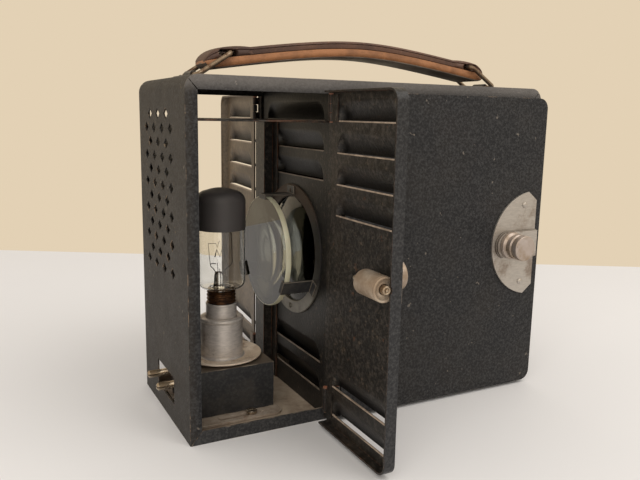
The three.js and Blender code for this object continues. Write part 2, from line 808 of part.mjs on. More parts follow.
function carriageBox() {
  const outer = block([lampX - boxHalfX, -boxHalfY, footTop], [lampX + boxHalfX, boxHalfY, boxTop]);
  const inner = block(
    [lampX - boxHalfX + sheet, -boxHalfY + sheet, footTop - overrun],
    [lampX + boxHalfX - sheet, boxHalfY - sheet, boxTop - sheet]);
  return cut(outer, inner);
}

projector.add(piece('carriage_foot', carriageFoot(), 'rusty'));
projector.add(piece('clamp_screw_near', clampScrew(-screwY), 'nickel'));
projector.add(piece('clamp_screw_far', clampScrew(screwY), 'nickel'));
projector.add(piece('carriage_box', carriageBox(), 'blackPaint'));

// Mains inlet: an insulating block on the box's end with two split pins
const inletBlockDepth = 3.4;
const inletBlockHalfY = 16;
const inletBlockLow = 13;
const inletBlockHigh = 30;
const inletPinHeight = 23;
const inletPinSpacing = 22.6;
const inletPinRadius = 2.4;
const inletPinTip = -134.8;
const inletPinTaper = 1;
const inletPinSlit = 0.8;
const inletPinSlitLength = 12;
const inletPinShoulder = 3.4;

function inletBlock() {
  const right = lampX - boxHalfX;
  return block(
    [right - inletBlockDepth, -inletBlockHalfY, inletBlockLow], [right, inletBlockHalfY, inletBlockHigh]);
}

function inletPin(y) {
  const root = lampX - boxHalfX - inletBlockDepth;
  const length = root - inletPinTip;
  const pin = turned([
    [0, 0], [inletPinShoulder, 0], [inletPinShoulder, inletPinTaper], [inletPinRadius, inletPinTaper],
    [inletPinRadius, length - inletPinTaper], [inletPinRadius - inletPinTaper, length], [0, length]], 16);
  const slit = block(
    [-inletPinSlit / 2, -inletPinRadius - overrun, length - inletPinSlitLength],
    [inletPinSlit / 2, inletPinRadius + overrun, length + overrun]);
  return cut(pin, slit).rotate(turnToMinusX).translate([root, y, inletPinHeight]);
}

projector.add(piece('inlet_block', inletBlock(), 'bakelite'));
projector.add(piece('inlet_pin_near', inletPin(-inletPinSpacing / 2), 'nickel'));
projector.add(piece('inlet_pin_far', inletPin(inletPinSpacing / 2), 'nickel'));

// Lamp socket and lamp
const socketFlangeRadius = 26;
const socketFlange = 1.2;
const socketDish = 1.4;
const socketSaucer = 19;
const socketRise = 1.9;
const sleeveRadius = 13.7;
const sleeveTop = 60.2;
const sleeveBead = 0.7;
const collarRadius = 9.9;
const collarTop = 69.4;
const collarWall = 1.2;
const capRadius = 9.4;
const capTop = 77.6;
const capBead = 0.5;
const capBeadShare = 0.35;
const bulbRadius = 15.9;
const bulbWall = 0.8;
const bulbBottom = 79.2;
const bulbShoulder = 4;
const domeBottom = 117.5;
const domeTop = 144;
const domeRound = 6;
const domeCrown = 1.6;
const coating = 0.4;
const neckRadius = 8;

function lampSocket() {
  const inner = sleeveRadius - sheet;
  return turned([
    [inner, boxTop], [socketSaucer, boxTop], [socketFlangeRadius, boxTop + socketRise],
    [socketFlangeRadius, boxTop + socketRise + socketFlange], [socketSaucer, boxTop + socketFlange],
    [sleeveRadius + socketDish, boxTop + socketFlange],
    [sleeveRadius, boxTop + socketFlange + socketDish], [sleeveRadius, sleeveTop - 3 * sleeveBead],
    [sleeveRadius + sleeveBead, sleeveTop - 2 * sleeveBead], [sleeveRadius + sleeveBead, sleeveTop - sleeveBead],
    [sleeveRadius, sleeveTop], [collarRadius + gap, sleeveTop], [collarRadius + gap, sleeveTop - sheet],
    [inner, sleeveTop - sheet], [inner, boxTop]]);
}

function socketCollar() {
  const low = boxTop + socketFlange;
  return turned([
    [collarRadius - collarWall, low], [collarRadius, low], [collarRadius, sleeveTop - 2 * sheet],
    [collarRadius, collarTop], [collarRadius - collarWall, collarTop], [collarRadius - collarWall, low]], 16);
}

function lampCap() {
  const plug = collarRadius - collarWall - gap;
  const seat = collarTop + gap;
  const turns = 3;
  const profile = [[0, sleeveTop], [plug, sleeveTop], [plug, seat], [capRadius, seat]];
  const pitch = (capTop - seat) / turns;
  for (let i = 0; i < turns; i += 1) {
    profile.push([capRadius, seat + pitch * (i + capBeadShare)]);
    profile.push([capRadius - capBead, seat + pitch * (i + 1 / 2)]);
    profile.push([capRadius - capBead, seat + pitch * (i + 3 / 4)]);
  }
  profile.push([capRadius - capBead, capTop], [0, capTop]);
  return turned(profile, 16);
}

// Outer line of the bulb from the neck up, moved inwards by inset
function bulbLine(inset) {
  const steps = 3;
  const line = [[neckRadius - inset, capTop + gap], [neckRadius - inset, bulbBottom + inset]];
  line.push([bulbRadius - bulbShoulder, bulbBottom + inset]);
  for (let i = 1; i <= steps; i += 1) {
    const angle = (i / steps) * Math.PI / 2;
    line.push([
      bulbRadius - bulbShoulder + (bulbShoulder - inset) * Math.sin(angle),
      bulbBottom + bulbShoulder - (bulbShoulder - inset) * Math.cos(angle)]);
  }
  return [...line, ...domeLine(inset)];
}

function domeLine(inset) {
  const steps = 3;
  const line = [];
  for (let i = 0; i <= steps; i += 1) {
    const angle = (i / steps) * Math.PI / 2;
    line.push([
      bulbRadius - domeRound + (domeRound - inset) * Math.cos(angle),
      domeTop - domeCrown - domeRound + (domeRound - inset) * Math.sin(angle)]);
  }
  line.push([0, domeTop - inset]);
  return line;
}

function lampGlass() {
  return turned([...bulbLine(coating), ...bulbLine(coating + bulbWall).reverse(), bulbLine(coating)[0]], 18);
}

function lampDome() {
  const outer = [[bulbRadius, domeBottom], ...domeLine(0)];
  const inner = [[bulbRadius - coating + gap / 3, domeBottom], ...domeLine(coating - gap / 3)];
  return turned([...outer, ...inner.reverse(), outer[0]], 18);
}

const stemFoot = 3.4;
const stemTop = 90;
const stemNeck = 2.2;
const supportRadius = 0.45;
const frameHalf = 6;
const frameTop = 112;
const filamentTop = 109;
const filamentBottom = 98;
const filamentHalf = 4;
const filamentBars = 3;

// A wire through given points, as short bars that run into each other
function wireThrough(points, radius) {
  const parts = [];
  const up = new THREE.Vector3(0, 1, 0);
  for (let i = 0; i + 1 < points.length; i += 1) {
    const a = new THREE.Vector3(...points[i]);
    const b = new THREE.Vector3(...points[i + 1]);
    const along = b.clone().sub(a);
    const geometry = new THREE.CylinderGeometry(radius, radius, along.length() + radius, 4);
    geometry.applyQuaternion(new THREE.Quaternion().setFromUnitVectors(up, along.clone().normalize()));
    geometry.translate((a.x + b.x) / 2, (a.y + b.y) / 2, (a.z + b.z) / 2);
    parts.push(solidOf(geometry));
  }
  return join(parts);
}

function lampFilament() {
  const stem = turned([
    [0, capTop + gap], [stemFoot, capTop + gap], [stemNeck, capTop + stemFoot], [stemNeck, stemTop - stemNeck],
    [stemNeck / 2, stemTop], [0, stemTop]], 8);
  const wires = [-1, 1].map((side) => wireThrough([
    [0, side * stemNeck / 2, stemTop - stemNeck], [0, side * frameHalf, filamentBottom - stemFoot],
    [0, side * frameHalf, frameTop], [0, 0, frameTop]], supportRadius));
  const zigzag = [[0, -frameHalf, filamentTop]];
  for (let i = 0; i < filamentBars; i += 1) {
    const y = -filamentHalf + 2 * filamentHalf * i / (filamentBars - 1);
    zigzag.push([0, y, i % 2 === 0 ? filamentTop : filamentBottom]);
    zigzag.push([0, y, i % 2 === 0 ? filamentBottom : filamentTop]);
  }
  zigzag.push([0, frameHalf, filamentTop]);
  return join(stem, wires, wireThrough(zigzag, supportRadius));
}

const lampParts = {
  lamp_socket: [lampSocket(), 'aluminium'],
  socket_collar: [socketCollar(), 'aluminium'],
  lamp_cap: [lampCap(), 'brass'],
  lamp_glass: [lampGlass(), 'glass'],
  lamp_dome: [lampDome(), 'blackPaint'],
  lamp_filament: [lampFilament(), 'wire'],
};
for (const [name, [solid, finish]] of Object.entries(lampParts)) {
  const mesh = piece(name, solid, finish);
  mesh.position.set(lampX, 0, 0);
  projector.add(mesh);
}

// Condenser: a ring on the partition, three arms, and two plano-convex lenses face to face
const ringInner = 35.4;
const retainerWall = 1;
const ringThickness = 1.2;
const lensRim = 3.4;
const lensSagitta = 6.6;
const frontLensX = -59.1;
const rearLensStep = 3.8;
const rearLensX = partitionX + rearLensStep;
const armWidth = 10;
const armThickness = 0.9;
const armHook = 2.4;
const armFoot = 5;
const ringRivets = 4;
const ringRivetRadius = 1.7;

// A plano-convex lens about Z: flat face at z = 0, convex side up
function condenserLens() {
  const steps = 4;
  const curve = (lensRadius ** 2 + lensSagitta ** 2) / (2 * lensSagitta);
  const profile = [[0, 0], [lensRadius - gap, 0], [lensRadius, gap], [lensRadius, lensRim]];
  for (let i = 1; i < steps; i += 1) {
    const r = lensRadius * (1 - i / steps);
    profile.push([r, lensRim + Math.sqrt(curve ** 2 - r ** 2) - curve + lensSagitta]);
  }
  profile.push([0, lensRim + lensSagitta]);
  return turned(profile, 24);
}

function condenserRing() {
  const ring = tube(ringRadius, ringInner, 0, ringThickness, 24);
  const rivets = [];
  for (let i = 0; i < ringRivets; i += 1) {
    const angle = (i + 0.5) * 2 * Math.PI / ringRivets;
    const r = (ringRadius + ringInner) / 2;
    rivets.push(dome(ringRivetRadius, rivetHeight).translate(
      [r * Math.cos(angle), r * Math.sin(angle), ringThickness]));
  }
  return join(ring, rivets).rotate(turnToMinusX).translate([partitionX, 0, opticAxisHeight]);
}

// An arm in X and radius: a foot on the ring, a straight run, and claws on both sides of the lens rim
function condenserArm(angle) {
  const low = lensRadius + gap;
  const high = low + armThickness;
  const foot = partitionX - ringThickness;
  const front = frontLensX - gap - armThickness;
  const claw = frontLensX + lensRim + gap;
  const shape = outline([
    [front, low - armHook], [front + armThickness, low - armHook], [front + armThickness, low],
    [claw, low], [claw, low - armHook / 2], [claw + armThickness, low - armHook / 2], [claw + armThickness, low],
    [foot, low], [foot, high + armFoot], [foot - armThickness, high + armFoot], [foot - armThickness, high],
    [front, high]].map(([x, radius]) => [-x, radius]));
  return slabY(shape, -armWidth / 2, armWidth / 2).rotate([angle, 0, 0]).translate([0, 0, opticAxisHeight]);
}

// A collar behind the partition that keeps the rear lens against the ring
function lensRetainer() {
  const low = partitionX + sheet;
  const high = rearLensX + gap;
  return turned([
    [apertureRadius, low], [ringRadius, low], [ringRadius, low + retainerWall],
    [apertureRadius + retainerWall, low + retainerWall], [apertureRadius + retainerWall, high + retainerWall],
    [ringInner, high + retainerWall], [ringInner, high], [apertureRadius, high],
    [apertureRadius, low]]).rotate(turnToX).translate([0, 0, opticAxisHeight]);
}

const rearLens = condenserLens().rotate(turnToMinusX).translate([rearLensX, 0, opticAxisHeight]);
const frontLens = condenserLens().rotate(turnToX).translate([frontLensX, 0, opticAxisHeight]);
projector.add(piece('condenser_ring', condenserRing(), 'aluminium'));
projector.add(piece('condenser_arm_top', condenserArm(0), 'blackPaint'));
projector.add(piece('condenser_arm_near', condenserArm(120), 'blackPaint'));
projector.add(piece('condenser_arm_far', condenserArm(-120), 'blackPaint'));
projector.add(piece('condenser_lens_front', frontLens, 'glass'));
projector.add(piece('condenser_lens_rear', rearLens, 'glass'));
projector.add(piece('lens_retainer', lensRetainer(), 'blackPaint'));

// Slide gate: a fixed plate with four posts, and a sprung plate that presses the slide on it
const gateX = -20;
const gateThickness = 1.2;
const gateHalf = 42;
const gateRise = 45;
const gateTop = opticAxisHeight + gateRise;
const gateFoot = 14;
const gateCorner = 8;
const gateAperture = 42;
const gateSlot = 6;
const gatePostY = 34;
const gatePostZ = 28;
const gatePostRadius = 1.6;
const gatePostReach = 5.5;
const gatePostHead = 3;
const gatePostHeadThickness = 1.4;
const pressHalfY = 38;
const pressHalfZ = 32.5;

function squareHole(size, x0, x1) {
  return block(
    [x0 - overrun, -size / 2, opticAxisHeight - size / 2], [x1 + overrun, size / 2, opticAxisHeight + size / 2]);
}

function gatePostPlaces() {
  return [-1, 1].flatMap((side) => [-1, 1].map((level) => [side * gatePostY, opticAxisHeight + level * gatePostZ]));
}

function gatePlate() {
  const plate = slabX(
    roundedRectangle(-gateHalf, sheet, gateHalf, gateTop, [0, 0, gateCorner, gateCorner]),
    gateX, gateX + gateThickness);
  const foot = block([gateX, -gateHalf, sheet], [gateX + gateFoot, gateHalf, sheet + gateThickness]);
  const reach = gateX - gateSlot - gateThickness - gatePostReach;
  const posts = gatePostPlaces().map(([y, z]) => join(
    bar(gatePostRadius, reach, gateX + gateThickness / 2),
    bar(gatePostHead, reach - gatePostHeadThickness, reach)).rotate(turnToX).translate([0, y, z]));
  return cut(join(plate, foot, posts), squareHole(gateAperture, gateX, gateX + gateThickness));
}

function pressurePlate() {
  const x1 = gateX - gateSlot;
  const plate = slabX(
    roundedRectangle(
      -pressHalfY, opticAxisHeight - pressHalfZ, pressHalfY, opticAxisHeight + pressHalfZ,
      [gateCorner / 2, gateCorner / 2, gateCorner / 2, gateCorner / 2]),
    x1 - gateThickness, x1, 4);
  const holes = gatePostPlaces().map(([y, z]) => bar(
    gatePostRadius + gap, x1 - gateThickness - overrun, x1 + overrun).rotate(turnToX).translate([0, y, z]));
  return cut(plate, squareHole(gateAperture, x1 - gateThickness, x1), holes);
}

projector.add(piece('gate_plate', gatePlate(), 'blackPaint'));
projector.add(piece('pressure_plate', pressurePlate(), 'blackPaint'));

// Projection lens: a mount in the end wall, and a barrel that slides in it to focus
const mountBore = 21.2;
const mountWall = 1.6;
const mountStart = 58;
const mountNose = 3;
const mountFlangeRadius = 30;
const mountFlange = 2;
const mountScrews = 4;
const barrelFit = 0.4;
const barrelRear = 62;
const barrelNose = 14;
const barrelShell = 1.6;
const gripRadius = 23;
const gripWidth = 8;
const glassFit = 0.3;
const glassRim = 3;
const glassBulge = 3.4;
const glassSetback = 3;
const seatLip = 1.2;

function lensMount() {
  const inside = halfLength - sheet;
  const outer = mountBore + mountWall;
  const body = turned([
    [mountBore, mountStart], [outer, mountStart], [outer, inside - mountFlange],
    [mountFlangeRadius, inside - mountFlange], [mountFlangeRadius, inside], [outer, inside],
    [outer, halfLength + mountNose], [mountBore, halfLength + mountNose], [mountBore, mountStart]]);
  const screws = [];
  for (let i = 0; i < mountScrews; i += 1) {
    const angle = (i + 0.5) * 2 * Math.PI / mountScrews;
    const r = (mountFlangeRadius + outer) / 2;
    screws.push(dome(rivetRadius, rivetHeight).mirror([0, 0, 1]).translate(
      [r * Math.cos(angle), r * Math.sin(angle), inside - mountFlange]));
  }
  return join(body, screws);
}

function lensBarrel() {
  const outer = mountBore - barrelFit;
  const inner = outer - barrelShell;
  const front = halfLength + barrelNose;
  const shell = turned([
    [inner - seatLip, barrelRear], [outer, barrelRear], [outer, front - gripWidth - gap],
    [gripRadius, front - gripWidth], [gripRadius, front - gap], [gripRadius - gap, front],
    [inner, front], [inner, front - glassSetback - glassRim - gap],
    [inner - seatLip, front - glassSetback - glassRim - gap],
    [inner - seatLip, front - glassSetback - glassRim - gap - seatLip],
    [inner, front - glassSetback - glassRim - gap - seatLip], [inner, barrelRear + seatLip],
    [inner - seatLip, barrelRear + seatLip], [inner - seatLip, barrelRear]]);
  return shell;
}

function objectiveGlass(z) {
  const radius = mountBore - barrelFit - barrelShell - glassFit;
  const half = glassRim / 2;
  return turned([
    [0, z - half - glassBulge], [radius / 2, z - half - 3 * glassBulge / 4], [radius, z - half],
    [radius, z + half], [radius / 2, z + half + 3 * glassBulge / 4], [0, z + half + glassBulge]], 20);
}

const lensParts = {
  lens_mount: [lensMount(), 'blackPaint'],
  lens_barrel: [lensBarrel(), 'aluminium'],
  lens_front_glass: [objectiveGlass(halfLength + barrelNose - glassSetback - glassRim / 2), 'glass'],
  lens_rear_glass: [objectiveGlass(barrelRear + seatLip + gap + glassRim / 2 + glassBulge), 'glass'],
};
for (const [name, [solid, finish]] of Object.entries(lensParts)) {
  projector.add(piece(name, solid.rotate(turnToX).translate([0, 0, opticAxisHeight]), finish));
}

// Handle: a leather strap on two wire rings, each held to the top by a saddle
const handleCentre = 4;
const handleHalf = 105;
const handleWidth = 25;
const handleThickness = 10.5;
const crestRise = 21.8;
const handleCrest = caseHeight + crestRise;
const handleDrop = 12;
const handleSoftShare = 0.2;
const handleStations = 18;
const handleEdge = 2.2;
const ringWire = 1.5;
const ringReach = 24.6;
const ringTilt = 33;
const ringHalf = 15.5;
const ringCorner = 3;
const ringFoot = 111;
const ringPivotZ = caseHeight + ringWire + gap;
const eyeHalfHeight = 2.1;
const eyeSwell = 1.7;
const eyeSwellReach = 14;
const eyeIn = 2.6;
const eyeOut = 4;

// Height of the strap's middle line, by its distance from the crest as a share of its half length
function strapHeight(share) {
  const soft = handleSoftShare;
  return handleCrest - handleDrop * (Math.hypot(share, soft) - soft) / (Math.hypot(1, soft) - soft);
}

// The leather is doubled over each ring's bar: how far its top rises there
function strapSwell(x) {
  const away = Math.abs(Math.abs(x - handleCentre) - Math.abs(ringBar(1)[0] - handleCentre));
  return eyeSwell * Math.max(1 - (away / eyeSwellReach) ** 2, 0);
}

function strapSection(share) {
  const x = handleCentre + share * handleHalf;
  const end = Math.min((1 - Math.abs(share)) * handleHalf / handleThickness, 1);
  const round = Math.sqrt(Math.max(1 - (1 - end) ** 2, 0));
  const halfT = handleThickness / 2 * Math.max(round, handleSoftShare);
  const halfW = handleWidth / 2 - (1 - round) * handleEdge;
  const edge = Math.min(handleEdge, halfT * (1 - handleSoftShare));
  const top = halfT + strapSwell(x);
  const z = strapHeight(share);
  const ring = [
    [-halfW + edge, -halfT], [halfW - edge, -halfT], [halfW, -halfT + edge], [halfW, top - edge],
    [halfW - edge, top], [-halfW + edge, top], [-halfW, top - edge], [-halfW, -halfT + edge]];
  return ring.map(([y, up]) => [x, y, z + up]);
}

function strapShares() {
  const shares = [];
  for (let i = 0; i <= handleStations; i += 1) {
    shares.push(Math.sin((i / handleStations - 0.5) * Math.PI));
  }
  return shares;
}

function ringBar(side) {
  const tilt = THREE.MathUtils.degToRad(ringTilt);
  return [
    handleCentre + side * (ringFoot - ringReach * Math.cos(tilt)),
    ringPivotZ + ringReach * Math.sin(tilt)];
}

function handleStrap() {
  const body = loft(strapShares().map(strapSection));
  const eyes = [-1, 1].map((side) => {
    const [x, z] = ringBar(side);
    const inward = -side * eyeIn;
    const outwards = side * eyeOut;
    const x0 = x + Math.min(inward, outwards) - ringWire;
    const x1 = x + Math.max(inward, outwards) + ringWire;
    return slabY(
      roundedRectangle(-x1, z - eyeHalfHeight, -x0, z + eyeHalfHeight,
        [eyeHalfHeight, eyeHalfHeight, eyeHalfHeight, eyeHalfHeight]),
      -handleWidth, handleWidth, 2);
  });
  return cut(body, eyes);
}

// A closed wire loop in the plane of its own X (reach) and Y (width), bottom bar on the Y axis
function wireRing() {
  const corners = [
    [0, -ringHalf], [ringReach, -ringHalf], [ringReach, ringHalf], [0, ringHalf]];
  const path = [];
  const arcSteps = 3;
  corners.forEach(([x, y], index) => {
    const cx = x === 0 ? ringCorner : ringReach - ringCorner;
    const cy = y < 0 ? -ringHalf + ringCorner : ringHalf - ringCorner;
    const from = Math.PI + index * Math.PI / 2;
    for (let i = 0; i <= arcSteps; i += 1) {
      const angle = from + (i / arcSteps) * Math.PI / 2;
      path.push([cx + ringCorner * Math.cos(angle), cy + ringCorner * Math.sin(angle), Math.cos(angle), Math.sin(angle)]);
    }
  });
  const sides = 6;
  const positions = [];
  for (const [x, y, nx, ny] of path) {
    for (let j = 0; j < sides; j += 1) {
      const angle = (j / sides) * 2 * Math.PI;
      positions.push(
        x + ringWire * Math.cos(angle) * nx, y + ringWire * Math.cos(angle) * ny, ringWire * Math.sin(angle));
    }
  }
  const triangles = [];
  for (let i = 0; i < path.length; i += 1) {
    for (let j = 0; j < sides; j += 1) {
      const a = i * sides + j;
      const b = i * sides + ((j + 1) % sides);
      const c = ((i + 1) % path.length) * sides + j;
      const d = ((i + 1) % path.length) * sides + ((j + 1) % sides);
      triangles.push(a, c, b, b, c, d);
    }
  }
  const geometry = new THREE.BufferGeometry();
  geometry.setAttribute('position', new THREE.BufferAttribute(new Float32Array(positions), 3));
  geometry.setIndex(triangles);
  return outward(solidOf(geometry), geometry);
}

const saddleWidth = 12;
const saddleWall = 0.9;
const saddleFoot = 6;
const saddleRivetRadius = 1.6;

// A strip bent over the ring's bottom bar, with a riveted foot on each side
function ringSaddle() {
  const inner = ringWire + gap;
  const outer = inner + saddleWall;
  const shape = new THREE.Shape();
  shape.moveTo(-outer - saddleFoot, 0);
  shape.lineTo(-inner, 0);
  shape.lineTo(-inner, inner);
  shape.absarc(0, inner, inner, Math.PI, 0, true);
  shape.lineTo(inner, 0);
  shape.lineTo(outer + saddleFoot, 0);
  shape.lineTo(outer + saddleFoot, saddleWall);
  shape.lineTo(outer, saddleWall);
  shape.lineTo(outer, inner);
  shape.absarc(0, inner, outer, 0, Math.PI, false);
  shape.lineTo(-outer, saddleWall);
  shape.lineTo(-outer - saddleFoot, saddleWall);
  shape.closePath();
  const strip = slabY(shape, -saddleWidth / 2, saddleWidth / 2, 3);
  const rivets = [-1, 1].map((side) => dome(saddleRivetRadius, saddleWall).translate(
    [side * (outer + saddleFoot / 2), 0, saddleWall]));
  return join(strip, rivets);
}

projector.add(piece('handle_strap', handleStrap(), 'leather'));
for (const [name, side] of [['left', -1], ['right', 1]]) {
  const ring = piece(`handle_ring_${name}`, wireRing(), 'wire');
  ring.position.set(handleCentre + side * ringFoot, 0, ringPivotZ);
  const tilt = THREE.MathUtils.degToRad(ringTilt);
  ring.rotation.y = side < 0 ? -tilt : Math.PI + tilt;
  projector.add(ring);
  const saddle = piece(`ring_saddle_${name}`, ringSaddle(), 'blackPaint');
  saddle.position.set(handleCentre + side * ringFoot, 0, caseHeight);
  projector.add(saddle);
}

export default projector;
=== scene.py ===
"""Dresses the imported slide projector: finer pieces over its frame, and a finish on every surface."""
import json
import math

import bmesh
import bpy
from mathutils import Matrix, Vector

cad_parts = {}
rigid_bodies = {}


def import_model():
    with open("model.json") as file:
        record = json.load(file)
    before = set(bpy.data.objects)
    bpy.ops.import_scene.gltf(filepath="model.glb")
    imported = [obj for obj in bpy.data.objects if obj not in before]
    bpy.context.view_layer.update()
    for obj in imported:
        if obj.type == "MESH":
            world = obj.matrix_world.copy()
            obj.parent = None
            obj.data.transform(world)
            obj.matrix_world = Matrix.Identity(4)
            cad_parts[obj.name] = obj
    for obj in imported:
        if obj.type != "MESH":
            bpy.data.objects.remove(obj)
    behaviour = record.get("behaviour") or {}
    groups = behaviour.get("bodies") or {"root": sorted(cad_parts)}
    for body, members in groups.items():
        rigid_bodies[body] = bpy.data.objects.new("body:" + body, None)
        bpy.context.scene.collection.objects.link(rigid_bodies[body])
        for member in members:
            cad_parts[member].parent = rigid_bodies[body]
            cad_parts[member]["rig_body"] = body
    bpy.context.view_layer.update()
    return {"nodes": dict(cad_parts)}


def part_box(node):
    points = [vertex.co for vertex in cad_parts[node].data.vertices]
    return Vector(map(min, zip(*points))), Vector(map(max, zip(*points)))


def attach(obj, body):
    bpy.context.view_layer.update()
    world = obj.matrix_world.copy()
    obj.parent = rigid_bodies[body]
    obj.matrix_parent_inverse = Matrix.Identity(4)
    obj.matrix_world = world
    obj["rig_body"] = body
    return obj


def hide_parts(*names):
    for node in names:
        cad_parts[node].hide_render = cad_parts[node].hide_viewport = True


bl_info = {
    "name": "Slide projector dressing",
    "version": (1, 0, 0),
    "blender": (4, 5, 0),
    "location": "View3D > Sidebar > Projector",
    "description": "Builds the visible pieces and finishes of a sheet metal slide projector",
    "category": "Object",
}

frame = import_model()
MM = 0.001
X, Y, Z = Vector((1, 0, 0)), Vector((0, 1, 0)), Vector((0, 0, 1))


def srgb(red, green, blue):
    """A display colour from 0 to 255 as the linear colour that Blender's sockets take."""
    channels = [c / 255 for c in (red, green, blue)]
    return tuple(c / 12.92 if c <= 0.04045 else ((c + 0.055) / 1.055) ** 2.4 for c in channels)


def rgba(colour):
    return (*colour[:3], 1.0)


# ---- Settings that a user would change


def distance(name, description, default):
    return bpy.props.FloatProperty(
        name=name, description=description, default=default, subtype="DISTANCE", unit="LENGTH", precision=5)


def colour(name, description, default):
    return bpy.props.FloatVectorProperty(
        name=name, description=description, default=default, subtype="COLOR", size=3, min=0, max=1)


class ProjectorSizes(bpy.types.PropertyGroup):
    """Sizes of the details that the dressing adds"""

    edge_round: distance("Edge round", "Bevel on the edges of sheet metal", 0.00022)
    rivet_radius: distance("Rivet radius", "Radius of the latch plates' rivet heads", 0.00205)
    rivet_height: distance("Rivet height", "Height of the latch plates' rivet heads", 0.00135)
    stitch_length: distance("Stitch length", "Length of one stitch on the handle", 0.0034)
    stitch_gap: distance("Stitch pitch", "Distance from stitch to stitch", 0.0052)
    stitch_radius: distance("Thread radius", "Radius of the handle's thread", 0.00036)
    knurl_radius: distance("Knurl radius", "Radius of one ridge on the lens grip", 0.0008)
    knurl_count: bpy.props.IntProperty(name="Knurls", description="Ridges around the lens grip", default=60, min=12)
    strap_layer: distance("Strap groove", "Depth of the grooves between the leather's layers", 0.0007)


class ProjectorColours(bpy.types.PropertyGroup):
    """Base colours of the finishes"""

    crinkle: colour("Crinkle paint", "Outside paint of the case", srgb(27, 27, 29))
    crinkle_warm: colour("Faded paint", "Outside paint where it has faded", srgb(46, 41, 36))
    inner: colour("Inner paint", "Paint inside the lamp house", srgb(24, 21, 17))
    # The far door's base colour is the inner paint made much lighter and browner
    far_door: colour("Far door paint", "Dusty paint of the far lamp door", srgb(126, 109, 88))
    rust: colour("Rust", "Rust on bare edges", srgb(112, 70, 44))
    floor: colour("Floor paint", "Dusty floor of the lamp house", srgb(176, 158, 136))
    aluminium: colour("Aluminium", "Socket and latch plates", srgb(184, 177, 168))
    stain: colour("Stain", "Brown stain on metal", srgb(112, 88, 66))
    nickel: colour("Nickel", "Knobs and latch barrels", srgb(176, 162, 142))
    leather: colour("Leather", "Top layer of the handle", srgb(94, 62, 44))
    leather_core: colour("Leather core", "Middle layer of the handle", srgb(172, 116, 74))
    thread: colour("Thread", "Stitches of the handle", srgb(44, 30, 24))
    bulb_black: colour("Lamp coating", "Black coating on the lamp's crown", srgb(72, 68, 66))
    lens_tint: colour("Condenser tint", "Tint of the condenser glass", srgb(150, 152, 138))
    lens_rim: colour("Condenser rim", "Ground edge of the condenser lenses", srgb(232, 226, 196))
    table: colour("Table", "Floor under the projector", srgb(233, 228, 223))
    wall: colour("Wall", "Background behind the projector", srgb(227, 209, 181))


def sizes():
    return bpy.context.scene.projector_sizes


def colours():
    return bpy.context.scene.projector_colours


def tone(value):
    """One of the user's colours by its name, or a display colour."""
    return getattr(colours(), value) if isinstance(value, str) else srgb(*value)


# ---- Shader maths as expressions


class Wire:
    """A socket's value, which can be used in sums."""

    def __init__(self, finish, socket):
        self.finish = finish
        self.socket = socket

    def maths(self, operation, *values):
        return self.finish.node("ShaderNodeMath", {"operation": operation}, dict(enumerate(values)))

    def __add__(self, other):
        return self.maths("ADD", self, other)

    def __sub__(self, other):
        return self.maths("SUBTRACT", self, other)

    def __rsub__(self, other):
        return self.maths("SUBTRACT", other, self)

    def __mul__(self, other):
        return self.maths("MULTIPLY", self, other)

    __radd__ = __add__
    __rmul__ = __mul__

    def size(self):
        return self.maths("ABSOLUTE", self)

    def most(self, other):
        return self.maths("MAXIMUM", self, other)

    def least(self, other):
        return self.maths("MINIMUM", self, other)

    def ramp(self, low, high):
        """0 below low, 1 above high, smooth between; low may be the larger."""
        if low <= high:
            return self.finish.node(
                "ShaderNodeMapRange", {"interpolation_type": "SMOOTHSTEP"},
                {"Value": self, "From Min": low, "From Max": high})
        return 1 - self.ramp(high, low)

    def mix(self, first, second):
        """The first colour where this is 0, the second where it is 1."""
        return self.finish.node(
            "ShaderNodeMix", {"data_type": "RGBA"},
            {0: self, 6: first, 7: second}, output=2)


